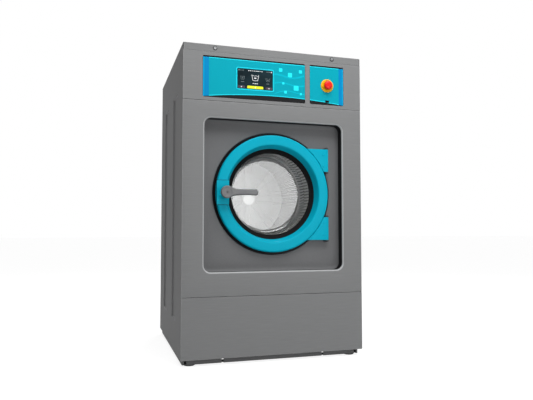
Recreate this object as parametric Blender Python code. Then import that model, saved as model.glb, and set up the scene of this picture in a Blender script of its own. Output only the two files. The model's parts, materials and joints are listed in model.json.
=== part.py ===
"""Soft-mounted industrial washer-extractor, modelled as an assembly of its separate pieces.

Metres, +Z up. The front faces -Y and the origin is on the floor, under the middle of the whole machine.
A depth is measured backwards from the cabinet's front plane, and at_depth() turns it into a Y value.
"""

import math

import bmesh
import bpy
from mathutils import Matrix, Vector

# Driving sizes of the cabinet
CABINET_WIDTH = 0.788
CABINET_DEPTH = 0.775
CABINET_HEIGHT = 1.308
PLINTH_HEIGHT = 0.029
LOWER_PANEL_HEIGHT = 0.246
CONTROL_PANEL_HEIGHT = 0.204
TOP_FLANGE_HEIGHT = 0.0295
SKIN = 0.0015
SEAT_GAP = 0.0003
OVERRUN = 0.010
PANEL_SEAM = 0.0020
PANEL_FLANGE_DEPTH = 0.020
PANEL_CORNER_RADIUS = 0.0025
SIDE_CLEARANCE = 0.0013
FLANGE_STEP = 0.0004

# Loading opening in the middle front panel, its trim, and the port in the recessed surround
OPENING_SIDE_MARGIN = 0.090
OPENING_FOOT_MARGIN = 0.099
OPENING_HEAD_MARGIN = 0.0705
OPENING_CORNER = 0.028
LIP_RADIUS = 0.008
TRIM_WALL = 0.0025
TRIM_CLEARANCE = 0.0006
SURROUND_DEPTH = 0.050
SURROUND_RISE = 0.006
SURROUND_FILLET = 0.020
PORT_SIDE_MARGIN = 0.043
PORT_END_MARGIN = 0.054
PORT_RISE = 0.011
PORT_LIP = 0.0050
COLLAR_FLANGE = 0.011
COLLAR_THICKNESS = 0.0027
COLLAR_FALL = 0.0085
COLLAR_ROOM = 0.012

# Side panels
SIDE_FLANGE = 0.018
RECESS_DEPTH = 0.0055
RECESS_CHAMFER = 0.007
RECESS_WIDTH = 0.135
RECESS_FOOT_MARGIN = 0.130
RECESS_HEAD_MARGIN = 0.171
FRONT_RECESS_DEPTH = 0.165
REAR_RECESS_MARGIN = 0.160

# Rear panel
REAR_PANEL_INSET = 0.006
LOUVRE_WIDTH = 0.150
LOUVRE_HEIGHT = 0.008
LOUVRE_PITCH = 0.022
LOUVRE_COUNT = 6
LOUVRE_TOP_DROP = 0.328
SERVICE_OPENING_WIDTH = 0.460

# Base frame, body frame and feet
BASE_SETBACK = 0.028
BASE_SIDE_INSET = 0.009
BASE_REAR_INSET = 0.012
BASE_BOTTOM_Z = 0.006
BASE_TOP_Z = 0.085
BASE_WALL = 0.003
BASE_LIP = 0.045
NOTCH_WIDTH = 0.009
NOTCH_HEIGHT = 0.020
OUTER_NOTCH_INSET = 0.022
INNER_NOTCH_INSET = 0.175
SEAT_RAIL_WIDTH = 0.090
SEAT_RAIL_HEIGHT = 0.040
FRAME_ANGLE = 0.040
FRAME_WALL = 0.003
LOWER_RAIL_RISE = 0.017
UPPER_RAIL_DROP = 0.0445
FOOT_RADIUS = 0.023
FOOT_STEM_RADIUS = 0.006
FOOT_STEM_TOP_Z = 0.048
FOOT_HOLE_CLEARANCE = 0.0006
FOOT_SIDE_INSET = 0.033
FOOT_INSET = 0.026

# Control panel
CONTROL_SIDE_MARGIN = 0.080
CONTROL_FOOT_MARGIN = 0.0145
CONTROL_HEAD_MARGIN = 0.017
CONTROL_CORNER = 0.006
MULLION_WIDTH = 0.020
ESTOP_WINDOW_WIDTH = 0.160
OVERLAY_INSET = 0.0016
OVERLAY_THICKNESS = 0.0012
OVERLAY_TOP_DROP = 0.0065
OVERLAY_BOTTOM_RISE = 0.002
OVERLAY_ARC_RISE = 0.020
BACKING_MARGIN = 0.008
BACKING_DEPTH = 0.0021
BACKING_BOX_DEPTH = 0.046
BACKING_WALL = 0.002
SCREEN_SIDE_MARGIN = 0.1475
SCREEN_FOOT_MARGIN = 0.046
SCREEN_WIDTH = 0.1535
SCREEN_HEIGHT = 0.084
SCREEN_THICKNESS = 0.009
SCREEN_CORNER = 0.002
SCREEN_CLEARANCE = 0.0004
BOARD_BOX_SIDE_INSET = 0.014
BOARD_BOX_RISE = 0.011
BOARD_BOX_WIDTH = 0.400
BOARD_BOX_HEIGHT = 0.130
BOARD_BOX_DEPTH = 0.150
BOARD_BOX_RIB = 0.006
BOARD_BOX_RIB_COUNT = 8
ESTOP_SIDE_SHIFT = 0.0013
ESTOP_RISE = 0.085
ESTOP_COLLAR_RADIUS = 0.029
ESTOP_COLLAR_THICKNESS = 0.0045
ESTOP_SLEEVE_WALL = 0.003
ESTOP_SLEEVE_DEPTH = 0.030
ESTOP_STEM_RADIUS = 0.0110
ESTOP_STEM_CLEARANCE = 0.0005
ESTOP_STEM_DEPTH = 0.040
ESTOP_HEAD_RADIUS = 0.019
ESTOP_HEAD_HEIGHT = 0.0135
ESTOP_TRAVEL_GAP = 0.0050
ESTOP_SPIGOT_RADIUS = 0.006
ESTOP_SPIGOT_LENGTH = 0.006
SOCKET_SIDE_SHIFT = 0.0007
SOCKET_RISE = 0.016
SOCKET_WIDTH = 0.018
SOCKET_HEIGHT = 0.009
SOCKET_PROUD = 0.0018

# Door
RING_CLEARANCE = 0.011
RING_BAND = 0.043
RING_TAPER = 0.012
RING_PROUD = 0.023
RING_BACK_CLEARANCE = 0.004
RING_THROAT_DROP = 0.0025
RING_WALL = 0.003
RING_EDGE_RADIUS = 0.006
DOOR_FRAME_SHIFT = 0.0016
DOOR_FRAME_COLLAR_WALL = 0.0047
DOOR_FRAME_COLLAR_PROUD = 0.0005
GASKET_GRIP = 0.0035
GASKET_LIP = 0.0045
GLASS_EDGE_INSET = 0.0055
GLASS_FLANGE = 0.015
GLASS_SETBACK = 0.015
GLASS_THICKNESS = 0.006
GLASS_TAPER = 0.0035
GLASS_WALL_DEPTH = 0.057
GLASS_FLOOR_DROP = 0.028
GLASS_FILLET = 0.018

# Door hinge
HINGE_AXIS_INSET = 0.004
HINGE_RING_CLEARANCE = 0.007
HINGE_BLOCK_THICKNESS = 0.015
HINGE_BLOCK_HEIGHT = 0.099
HINGE_BLOCK_SETBACK = 0.001
HINGE_PIN_RADIUS = 0.004
HINGE_PIN_HEAD_RADIUS = 0.0062
HINGE_PIN_HEAD_HEIGHT = 0.003
HINGE_EAR_THICKNESS = 0.0045
HINGE_EAR_CLEARANCE = 0.0006
HINGE_PLATE_THICKNESS = 0.003
HINGE_PLATE_REACH = 0.014

# Door handle and lock
HANDLE_INSET = 0.039
HANDLE_PLATE_RIM = 0.002
HANDLE_PLATE_END_GAP = 0.0015
HANDLE_PLATE_HEIGHT = 0.100
HANDLE_PLATE_PROUD = 0.006
HANDLE_PLATE_BACK = 0.004
HANDLE_PLATE_CORNER = 0.003
HANDLE_SHAFT_RADIUS = 0.0070
HANDLE_SHAFT_CLEARANCE = 0.0005
HANDLE_SHAFT_INSET = 0.0045
HUB_NECK_RADIUS = 0.014
HUB_NECK_LENGTH = 0.019
HUB_RADIUS = 0.026
HUB_THICKNESS = 0.018
LEVER_REACH = 0.130
LEVER_NECK_WIDTH = 0.026
LEVER_BELLY_WIDTH = 0.030
LEVER_TIP_WIDTH = 0.025
LEVER_THICKNESS = 0.013
LEVER_BEND = 0.003
LEVER_SHARES = (
    (0, "neck", 0),
    (0.20, "neck", 0),
    (0.42, "belly", 0.4),
    (0.80, "belly", 1),
    (0.95, "tip", 1),
    (1, "tip", 1),
)
TONGUE_INSET = 0.014
TONGUE_THICKNESS = 0.005
TONGUE_HEIGHT = 0.022
TONGUE_LENGTH = 0.0265
TONGUE_HOLE_RADIUS = 0.0050
TONGUE_HOLE_INSET = 0.0095
TONGUE_CLEARANCE = 0.0035
LOCK_LIP = 0.0092
LOCK_REACH = 0.064
LOCK_HEIGHT = 0.060
LOCK_BACK_WALL = 0.007
LOCK_BOLT_RADIUS = 0.0040
LOCK_BOLT_LENGTH = 0.040
LOCK_BOLT_CLEARANCE = 0.0005

# Door seal between the cabinet and the suspended tub
SEAL_THICKNESS = 0.003
SEAL_FOLD = 0.0095

# Tub
TUB_SIDE_ROOM = 0.049
TUB_FOOT_ROOM = 0.227
TUB_HEAD_ROOM = 0.043
TUB_REAR_ROOM = 0.200
TUB_WALL = 0.003
TUB_NECK_ROOM = 0.006
TUB_NECK_LENGTH = 0.018
TUB_NECK_BEND = 0.010
TUB_RIM_HEIGHT = 0.012
TUB_HUB_RADIUS = 0.070
TUB_RIB_COUNT = 8
TUB_RIB_HEIGHT = 0.020
TUB_RIB_WIDTH = 0.008
BEARING_HOUSING_LENGTH = 0.112
BEARING_HOUSING_FLANGE_RADIUS = 0.105
BEARING_HOUSING_FLANGE = 0.012
BEARING_HOUSING_RADIUS = 0.058
BEARING_BORE_RADIUS = 0.045
BEARING_WIDTH = 0.023
BEARING_EDGE = 0.008
MOUNT_SHARE = 0.8261
MOUNT_DROP = 0.007
FRONT_MOUNT_INSET = 0.075
REAR_MOUNT_INSET = 0.070
MOUNT_PAD_THICKNESS = 0.006
MOUNT_PAD_WIDTH = 0.080
MOUNT_PAD_LENGTH = 0.110
MOUNT_WEB_THICKNESS = 0.006

# Suspension
SPRING_RADIUS = 0.028
SPRING_WIRE_RADIUS = 0.005
SPRING_TURNS = 4
SPRING_POINTS_PER_TURN = 8
SPRING_WIRE_STEPS = 6
SPRING_OFFSET_Y = -0.022
DAMPER_OFFSET_Y = 0.032
DAMPER_TUBE_RADIUS = 0.014
DAMPER_BORE_RADIUS = 0.0105
DAMPER_ROD_RADIUS = 0.0075
DAMPER_HEAD_ROOM = 0.090
DAMPER_FOOT_ROOM = 0.045

# Drum
DRUM_ROOM = 0.040
DRUM_FRONT_ROOM = 0.008
DRUM_BACK_ROOM = 0.045
DRUM_WALL = 0.0015
DRUM_MOUTH_ROOM = 0.005
DRUM_LIP = 0.004
DRUM_FRONT_CONE = 0.014
DRUM_RIM_WIDTH = 0.016
DRUM_CONE_HEIGHT = 0.080
DRUM_RIB_COUNT = 8
DRUM_RIB_HEIGHT = 0.006
DRUM_RING_RADIUS = 0.130
DRUM_RING_HEIGHT = 0.004
DRUM_HUB_RADIUS = 0.030
DRUM_BACK_SHARES = (0, 0.2, 0.36, 0.55, 0.80, 1)
LIFTER_COUNT = 2
LIFTER_HEIGHT = 0.062
LIFTER_WIDTH = 0.080
LIFTER_CROWN = 0.026
LIFTER_END_CLEARANCE = 0.030
LIFTER_END_SHARES = ((0, 0.35), (0.12, 1), (0.88, 1), (1, 0.35))
LIFTER_SHOULDER_SHARE = 0.85

# Drive
SHAFT_RADIUS = 0.0200
SHAFT_STEP_RADIUS = 0.024
BEARING_INNER_CLEARANCE = 0.0004
SPIDER_HUB_RADIUS = 0.052
SPIDER_ARM_WIDTH = 0.034
SPIDER_ARM_THICKNESS = 0.016
SPIDER_ARM_COUNT = 3
SPIDER_CLEARANCE = 0.006
PULLEY_RADIUS = 0.190
PULLEY_WIDTH = 0.026
PULLEY_RIM = 0.010
PULLEY_WEB = 0.006
PULLEY_HUB_RADIUS = 0.034
PULLEY_CLEARANCE = 0.006
PULLEY_HOLE_COUNT = 5
PULLEY_HOLE_RADIUS = 0.038
PULLEY_HOLE_CIRCLE = 0.110
PULLEY_HOLE_SHARE = 0.21
PULLEY_BORE_CLEARANCE = 0.0004
MOTOR_DROP = 0.114
MOTOR_RADIUS = 0.072
MOTOR_LENGTH = 0.190
MOTOR_FIN_COUNT = 16
MOTOR_FIN_HEIGHT = 0.005
MOTOR_FIN_SHARE = 0.25
MOTOR_LUG_THICKNESS = 0.006
MOTOR_LUG_CLEARANCE = 0.0005
MOTOR_PAD_HEIGHT = 0.060
MOTOR_SHAFT_RADIUS = 0.012
MOTOR_BORE_CLEARANCE = 0.0006
MOTOR_BORE_DEPTH = 0.040
MOTOR_PULLEY_RADIUS = 0.034
BELT_THICKNESS = 0.005
BELT_WIDTH = 0.020

# Water and electric connections
DRAIN_OFFSET = 0.100
DRAIN_VALVE_RADIUS = 0.036
DRAIN_VALVE_LENGTH = 0.100
DRAIN_FLANGE_RADIUS = 0.046
DRAIN_FLANGE = 0.008
DRAIN_OUTLET_RADIUS = 0.030
DRAIN_HOSE_RADIUS = 0.034
DRAIN_HOSE_LEAD = 0.010
DRAIN_HOSE_WALL = 0.004
DRAIN_HOSE_STEPS = 10
DRAIN_HOSE_BEND = 0.0677
DRAIN_HOSE_SHARE = 0.454
DRAIN_HOSE_ROOM = 0.019
DRAIN_PROUD = 0.060
DRAIN_HOLE_CLEARANCE = 0.001
HEATER_SPACING = 0.042
HEATER_CLEARANCE = 0.0009
HEATER_END_ROOM = 0.0607
HEATER_RADIUS = 0.0042
HEATER_LOOP_WIDTH = 0.028
HEATER_FLANGE_HEIGHT = 0.024
HEATER_FLANGE_THICKNESS = 0.010
VALVE_COUNT = 3
VALVE_PITCH = 0.060
VALVE_SIDE_INSET = 0.124
VALVE_DROP = 0.158
VALVE_INLET_RADIUS = 0.013
VALVE_INLET_PROUD = 0.024
VALVE_BODY_RADIUS = 0.019
VALVE_BODY_DEPTH = 0.050
VALVE_COIL_WIDTH = 0.030
VALVE_COIL_HEIGHT = 0.034
GLAND_SIDE_INSET = 0.124
GLAND_RADIUS = 0.014
GLAND_BORE_RADIUS = 0.007
GLAND_PROUD = 0.022
GLAND_NUT_RADIUS = 0.020
GLAND_NUT_HEIGHT = 0.006

# Facets: how many flats stand for a full circle
ROUND_STEPS = 32
INNER_STEPS = 24
SMALL_STEPS = 12
CORNER_STEPS = 4
SHARP_CORNER_STEPS = 2
BUTTON_STEPS = 20
TUBE_STEPS = 6

# Heights and widths of the cabinet that follow
HALF_WIDTH = CABINET_WIDTH / 2
OPENING_HALF_WIDTH = HALF_WIDTH - OPENING_SIDE_MARGIN
LOWER_SEAM_Z = PLINTH_HEIGHT + LOWER_PANEL_HEIGHT
UPPER_SEAM_Z = CABINET_HEIGHT - TOP_FLANGE_HEIGHT - CONTROL_PANEL_HEIGHT
OPENING_HALF_HEIGHT = (UPPER_SEAM_Z - OPENING_HEAD_MARGIN - LOWER_SEAM_Z - OPENING_FOOT_MARGIN) / 2
OPENING_Z = LOWER_SEAM_Z + OPENING_FOOT_MARGIN + OPENING_HALF_HEIGHT
DOOR_Z = OPENING_Z + PORT_RISE
PORT_RADIUS = min(OPENING_HALF_WIDTH - PORT_SIDE_MARGIN, OPENING_HALF_HEIGHT - PORT_END_MARGIN)
RECESS_BOTTOM_Z = PLINTH_HEIGHT + RECESS_FOOT_MARGIN
RECESS_TOP_Z = CABINET_HEIGHT - RECESS_HEAD_MARGIN
REAR_RECESS_DEPTH = CABINET_DEPTH - REAR_RECESS_MARGIN - RECESS_WIDTH
LOUVRE_TOP_Z = CABINET_HEIGHT - LOUVRE_TOP_DROP
OUTER_NOTCH_X = HALF_WIDTH - OUTER_NOTCH_INSET
INNER_NOTCH_X = HALF_WIDTH - INNER_NOTCH_INSET
LOWER_RAIL_Z = LOWER_SEAM_Z + LOWER_RAIL_RISE
UPPER_RAIL_Z = UPPER_SEAM_Z - UPPER_RAIL_DROP
FOOT_THICKNESS = BASE_BOTTOM_Z - SEAT_GAP
FOOT_X = HALF_WIDTH - BASE_SIDE_INSET - FOOT_SIDE_INSET
REAR_PANEL_DEPTH = CABINET_DEPTH + SEAT_GAP
PANEL_SIDE_INSET = SKIN + SIDE_CLEARANCE
POST_OUTER_X = HALF_WIDTH - PANEL_SIDE_INSET - SKIN - SEAT_GAP
FRAME_FRONT_DEPTH = PANEL_FLANGE_DEPTH + SEAT_GAP
FRAME_BACK_DEPTH = CABINET_DEPTH - SKIN - SEAT_GAP
FRAME_TOP_Z = CABINET_HEIGHT - TOP_FLANGE_HEIGHT - SEAT_GAP
SEAT_RAIL_TOP_Z = BASE_TOP_Z + SEAT_RAIL_HEIGHT

# Places on the control panel that follow
CONTROL_HALF_WIDTH = HALF_WIDTH - CONTROL_SIDE_MARGIN
CONTROL_BOTTOM_Z = UPPER_SEAM_Z + CONTROL_FOOT_MARGIN
CONTROL_TOP_Z = CABINET_HEIGHT - TOP_FLANGE_HEIGHT - CONTROL_HEAD_MARGIN
CONTROL_MIDDLE_Z = (CONTROL_TOP_Z + CONTROL_BOTTOM_Z) / 2
MULLION_RIGHT = CONTROL_HALF_WIDTH - ESTOP_WINDOW_WIDTH
MULLION_LEFT = MULLION_RIGHT - MULLION_WIDTH
SCREEN_LEFT = MULLION_LEFT - SCREEN_SIDE_MARGIN - SCREEN_WIDTH
SCREEN_BOTTOM_Z = CONTROL_BOTTOM_Z + SCREEN_FOOT_MARGIN
BOARD_BOX_LEFT = BOARD_BOX_SIDE_INSET - CONTROL_HALF_WIDTH
BOARD_BOX_BOTTOM_Z = CONTROL_BOTTOM_Z + BOARD_BOX_RISE
ESTOP_X = (MULLION_RIGHT + CONTROL_HALF_WIDTH) / 2 + ESTOP_SIDE_SHIFT
ESTOP_Z = CONTROL_BOTTOM_Z + ESTOP_RISE
ESTOP_BORE_RADIUS = ESTOP_STEM_RADIUS + ESTOP_STEM_CLEARANCE
ESTOP_SLEEVE_RADIUS = ESTOP_BORE_RADIUS + ESTOP_SLEEVE_WALL
SOCKET_X = ESTOP_X + SOCKET_SIDE_SHIFT
SOCKET_Z = CONTROL_BOTTOM_Z + SOCKET_RISE
OVERLAY_FACE_DEPTH = BACKING_DEPTH - SEAT_GAP - OVERLAY_THICKNESS
COLLAR_FACE_DEPTH = OVERLAY_FACE_DEPTH - SEAT_GAP - ESTOP_COLLAR_THICKNESS
HEAD_FACE_DEPTH = COLLAR_FACE_DEPTH - ESTOP_TRAVEL_GAP - ESTOP_HEAD_HEIGHT

# Radii and depths of the door, its hinge and its lock that follow
RING_OUTER_RADIUS = PORT_RADIUS - RING_CLEARANCE
RING_FACE_RADIUS = RING_OUTER_RADIUS - RING_BAND
RING_THROAT_RADIUS = RING_FACE_RADIUS - RING_TAPER
RING_INNER_WALL_RADIUS = RING_OUTER_RADIUS - RING_WALL
RING_FACE_DEPTH = SURROUND_DEPTH - RING_PROUD
RING_BACK_DEPTH = SURROUND_DEPTH - RING_BACK_CLEARANCE
COLLAR_DEPTH = SURROUND_DEPTH + PORT_LIP + 3 * SEAT_GAP
DOOR_FRAME_BACK_DEPTH = COLLAR_DEPTH + DOOR_FRAME_SHIFT
RING_THROAT_DEPTH = DOOR_FRAME_BACK_DEPTH + RING_THROAT_DROP
GASKET_OUTER_RADIUS = RING_THROAT_RADIUS + GASKET_GRIP
GLASS_EDGE_RADIUS = GASKET_OUTER_RADIUS - GLASS_EDGE_INSET
GLASS_MOUTH_RADIUS = GLASS_EDGE_RADIUS - GLASS_FLANGE
GLASS_SHOULDER_RADIUS = GLASS_MOUTH_RADIUS - GLASS_TAPER
GLASS_MOUTH_DEPTH = RING_THROAT_DEPTH + GLASS_SETBACK
GLASS_SHOULDER_DEPTH = GLASS_MOUTH_DEPTH + GLASS_WALL_DEPTH
GLASS_FLOOR_DEPTH = GLASS_SHOULDER_DEPTH + GLASS_FLOOR_DROP
DOOR_FRAME_COLLAR_RADIUS = GASKET_OUTER_RADIUS + SEAT_GAP + DOOR_FRAME_COLLAR_WALL
DOOR_FRAME_COLLAR_DEPTH = GLASS_MOUTH_DEPTH + GLASS_THICKNESS + GASKET_LIP + DOOR_FRAME_COLLAR_PROUD
COLLAR_INNER_RADIUS = DOOR_FRAME_COLLAR_RADIUS + COLLAR_ROOM
HINGE_AXIS_X = RING_OUTER_RADIUS - HINGE_AXIS_INSET
HINGE_EAR_LEFT = HINGE_AXIS_X - HINGE_BLOCK_THICKNESS / 2
HINGE_EAR_Z = math.sqrt(RING_OUTER_RADIUS**2 - (HINGE_EAR_LEFT - HINGE_RING_CLEARANCE) ** 2)
HINGE_BLOCK_OFFSET_Z = HINGE_EAR_Z + HINGE_EAR_THICKNESS + HINGE_EAR_CLEARANCE + HINGE_BLOCK_HEIGHT / 2
HINGE_BLOCK_FACE_DEPTH = RING_FACE_DEPTH + HINGE_BLOCK_SETBACK
HINGE_PLATE_LEFT = HINGE_AXIS_X - HINGE_PLATE_REACH
HINGE_AXIS_DEPTH = HINGE_BLOCK_FACE_DEPTH + HINGE_BLOCK_THICKNESS / 2
HANDLE_X = HANDLE_INSET - RING_OUTER_RADIUS
HANDLE_PLATE_LEFT = HANDLE_PLATE_RIM - RING_OUTER_RADIUS
HANDLE_PLATE_RIGHT = -RING_THROAT_RADIUS - HANDLE_PLATE_END_GAP
HANDLE_PLATE_DEPTH = RING_THROAT_DEPTH - HANDLE_PLATE_BACK
HANDLE_SHAFT_END_DEPTH = DOOR_FRAME_BACK_DEPTH - HANDLE_SHAFT_INSET
HUB_FACE_DEPTH = RING_FACE_DEPTH - 2 * SEAT_GAP - HANDLE_PLATE_PROUD - HUB_NECK_LENGTH - HUB_THICKNESS
TONGUE_X = TONGUE_INSET - RING_OUTER_RADIUS
TONGUE_END_DEPTH = DOOR_FRAME_BACK_DEPTH + TONGUE_LENGTH
TONGUE_HOLE_DEPTH = TONGUE_END_DEPTH - TONGUE_HOLE_INSET
LOCK_RIGHT = TONGUE_X + LOCK_LIP
LOCK_LEFT = TONGUE_X - LOCK_REACH
LOCK_BACK_DEPTH = TONGUE_END_DEPTH + LOCK_BACK_WALL
LOCK_BOLT_TRAVEL = TONGUE_THICKNESS + 2 * TONGUE_CLEARANCE
FRONT_PROUD = -min(HUB_FACE_DEPTH, HEAD_FACE_DEPTH)
REAR_PROUD = SEAT_GAP + SKIN + DRAIN_PROUD
FRONT_Y = FRONT_PROUD - (FRONT_PROUD + CABINET_DEPTH + REAR_PROUD) / 2

# Places of the tub, the drum, the drive and the water path that follow
TUB_RADIUS = min(
    HALF_WIDTH - TUB_SIDE_ROOM,
    DOOR_Z - SEAT_RAIL_TOP_Z - TUB_WALL - TUB_FOOT_ROOM,
    BOARD_BOX_BOTTOM_Z - DOOR_Z - TUB_RIM_HEIGHT - TUB_HEAD_ROOM,
)
TUB_NECK_DEPTH = DOOR_FRAME_COLLAR_DEPTH + TUB_NECK_ROOM
TUB_FRONT_DEPTH = TUB_NECK_DEPTH + TUB_NECK_LENGTH
TUB_BACK_DEPTH = CABINET_DEPTH - TUB_REAR_ROOM
TUB_BOTTOM_Z = DOOR_Z - TUB_RADIUS - TUB_WALL
DRUM_RADIUS = TUB_RADIUS - DRUM_ROOM
DRUM_FRONT_DEPTH = TUB_FRONT_DEPTH + DRUM_FRONT_ROOM
DRUM_BACK_DEPTH = TUB_BACK_DEPTH - DRUM_BACK_ROOM
DRUM_MOUTH_RADIUS = RING_THROAT_RADIUS + DRUM_MOUTH_ROOM
TUB_NECK_RADIUS = DRUM_MOUTH_RADIUS + DRUM_MOUTH_ROOM
MOUNT_X = TUB_RADIUS * MOUNT_SHARE
FRONT_MOUNT_DEPTH = TUB_FRONT_DEPTH + FRONT_MOUNT_INSET
REAR_MOUNT_DEPTH = TUB_BACK_DEPTH - REAR_MOUNT_INSET
MOUNT_PAD_Z = TUB_BOTTOM_Z - MOUNT_DROP
DAMPER_TUBE_LENGTH = MOUNT_PAD_Z - SEAT_RAIL_TOP_Z - DAMPER_HEAD_ROOM
DAMPER_ROD_REACH = MOUNT_PAD_Z - SEAT_RAIL_TOP_Z - DAMPER_FOOT_ROOM
SPIDER_DEPTH = DRUM_BACK_DEPTH + SEAT_GAP
PULLEY_DEPTH = TUB_BACK_DEPTH + TUB_WALL + BEARING_HOUSING_LENGTH + PULLEY_CLEARANCE
MOTOR_Z = TUB_BOTTOM_Z - MOTOR_DROP
MOTOR_BACK_DEPTH = PULLEY_DEPTH - PULLEY_CLEARANCE - SEAT_GAP
LUG_X = MOTOR_RADIUS + MOTOR_FIN_HEIGHT + MOTOR_LUG_CLEARANCE
DRAIN_DEPTH = FRONT_MOUNT_DEPTH + DRAIN_OFFSET
SPRING_INNER_X = MOUNT_X - SPRING_RADIUS - SPRING_WIRE_RADIUS
LUG_OUTER_X = LUG_X + MOTOR_LUG_THICKNESS
DRAIN_HOSE_X = LUG_OUTER_X + (SPRING_INNER_X - LUG_OUTER_X) * DRAIN_HOSE_SHARE
DRAIN_OUTLET_LENGTH = DRAIN_HOSE_X - DRAIN_HOSE_BEND - DRAIN_HOSE_LEAD - SEAT_GAP - DRAIN_VALVE_RADIUS
DRAIN_HOSE_REST_Z = SEAT_RAIL_TOP_Z + DRAIN_HOSE_RADIUS + DRAIN_HOSE_ROOM
HEATER_START_DEPTH = TUB_BACK_DEPTH - SEAT_GAP - HEATER_FLANGE_THICKNESS
HEATER_LENGTH = HEATER_START_DEPTH - TUB_FRONT_DEPTH - HEATER_LOOP_WIDTH / 2 - HEATER_END_ROOM
HEATER_HALF_WIDTH = HEATER_SPACING + HEATER_LOOP_WIDTH / 2 + 2 * HEATER_RADIUS
HEATER_REACH = TUB_RADIUS * math.cos(math.pi / INNER_STEPS) - HEATER_CLEARANCE
HEATER_DROP = math.sqrt(HEATER_REACH**2 - HEATER_HALF_WIDTH**2) - HEATER_FLANGE_HEIGHT / 2
VALVE_LEFT = VALVE_SIDE_INSET - HALF_WIDTH
VALVE_Z = CABINET_HEIGHT - VALVE_DROP
GLAND_X = HALF_WIDTH - GLAND_SIDE_INSET

# Where the four feet stand and the four springs: side of the machine, then front or back
FOOT_PLACES = {
    "front_left_foot": (-1, -1),
    "front_right_foot": (1, -1),
    "rear_left_foot": (-1, 1),
    "rear_right_foot": (1, 1),
}
SPRING_PLACES = {
    "front_left_spring": (-1, FRONT_MOUNT_DEPTH),
    "front_right_spring": (1, FRONT_MOUNT_DEPTH),
    "rear_left_spring": (-1, REAR_MOUNT_DEPTH),
    "rear_right_spring": (1, REAR_MOUNT_DEPTH),
}


def at_depth(depth):
    return FRONT_Y + depth


# Finishes: base colour, roughness and metallic value
FINISHES = {
    "grey_paint": ((0.20, 0.21, 0.215), 0.45, 0.2),
    "dark_paint": ((0.030, 0.031, 0.033), 0.50, 0.1),
    "turquoise": ((0.0, 0.42, 0.58), 0.40, 0.0),
    "black_rubber": ((0.010, 0.010, 0.011), 0.60, 0.0),
    "black_plastic": ((0.012, 0.012, 0.013), 0.45, 0.0),
    "stainless": ((0.62, 0.62, 0.61), 0.28, 1.0),
    "bright_steel": ((0.50, 0.50, 0.50), 0.30, 1.0),
    "galvanised": ((0.40, 0.41, 0.42), 0.42, 1.0),
    "cast_grey": ((0.17, 0.17, 0.175), 0.55, 0.6),
    "cast_aluminium": ((0.42, 0.42, 0.43), 0.45, 0.9),
    "handle_grey": ((0.20, 0.20, 0.205), 0.38, 0.5),
    "glass": ((0.75, 0.80, 0.80), 0.05, 0.0),
    "screen": ((0.004, 0.020, 0.025), 0.12, 0.0),
    "overlay": ((0.0, 0.48, 0.62), 0.30, 0.0),
    "warning_yellow": ((0.95, 0.62, 0.02), 0.40, 0.0),
    "signal_red": ((0.80, 0.03, 0.02), 0.35, 0.0),
    "spring_steel": ((0.08, 0.08, 0.085), 0.40, 0.8),
    "brass": ((0.60, 0.42, 0.18), 0.35, 1.0),
}


# Building blocks
def finished(name, mesh, finish, angle=35.0):
    """An object for a finished mesh, with its own material, smooth but for its sharp edges."""
    colour, roughness, metallic = FINISHES[finish]
    material = bpy.data.materials.new(f"{name}_{finish}")
    material.use_nodes = True
    shader = material.node_tree.nodes["Principled BSDF"]
    shader.inputs["Base Color"].default_value = (*colour, 1.0)
    shader.inputs["Roughness"].default_value = roughness
    shader.inputs["Metallic"].default_value = metallic
    mesh.name = name
    mesh.materials.clear()
    mesh.materials.append(material)
    mesh.shade_smooth()
    mesh.set_sharp_from_angle(angle=math.radians(angle))
    thing = bpy.data.objects.new(name, mesh)
    bpy.context.scene.collection.objects.link(thing)
    return thing


def closed_mesh(bm):
    """A mesh from a bmesh, with its faces turned outwards."""
    bmesh.ops.recalc_face_normals(bm, faces=bm.faces[:])
    mesh = bpy.data.meshes.new("form")
    bm.to_mesh(mesh)
    bm.free()
    return mesh


def turned(profile, steps, closed=True):
    """A form turned about Z from (radius, z) points. An open profile starts and ends on the axis."""
    bm = bmesh.new()
    points = [bm.verts.new((radius, 0, z)) for radius, z in profile]
    pairs = list(zip(points, points[1:]))
    if closed:
        pairs.append((points[-1], points[0]))
    edges = [bm.edges.new(pair) for pair in pairs]
    bmesh.ops.spin(
        bm, geom=points + edges, cent=(0, 0, 0), axis=(0, 0, 1), angle=math.tau, steps=steps, use_merge=True
    )
    bmesh.ops.remove_doubles(bm, verts=bm.verts[:], dist=1e-6)
    return closed_mesh(bm)


def thickened(line, wall):
    """The closed outline of a wall laid evenly on both sides of a line of (radius, z) points."""
    def normal(start, end):
        run, rise = end[0] - start[0], end[1] - start[1]
        size = math.hypot(run, rise)
        return -rise / size, run / size

    sides = [normal(a, b) for a, b in zip(line, line[1:])]
    outer, inner = [], []
    for i, (radius, z) in enumerate(line):
        before = sides[max(i - 1, 0)]
        after = sides[min(i, len(sides) - 1)]
        across, along = before[0] + after[0], before[1] + after[1]
        share = wall / (across * before[0] + along * before[1]) / 2
        outer.append((radius + across * share, z + along * share))
        inner.append((radius - across * share, z - along * share))
    return outer + inner[::-1]


def extruded(outline, start, end):
    """A prism of an (x, y) outline between two heights."""
    bm = bmesh.new()
    base = bm.faces.new([bm.verts.new((x, y, start)) for x, y in outline])
    grown = bmesh.ops.extrude_face_region(bm, geom=[base])["geom"]
    moved = [v for v in grown if isinstance(v, bmesh.types.BMVert)]
    bmesh.ops.translate(bm, verts=moved, vec=(0, 0, end - start))
    return closed_mesh(bm)


def block(low, high):
    """A rectangular block between two corners."""
    bm = bmesh.new()
    bmesh.ops.create_cube(bm, size=1)
    size = [b - a for a, b in zip(low, high)]
    middle = [(a + b) / 2 for a, b in zip(low, high)]
    matrix = Matrix.Translation(middle) @ Matrix.Diagonal((*size, 1))
    bmesh.ops.transform(bm, matrix=matrix, verts=bm.verts[:])
    return closed_mesh(bm)


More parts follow.
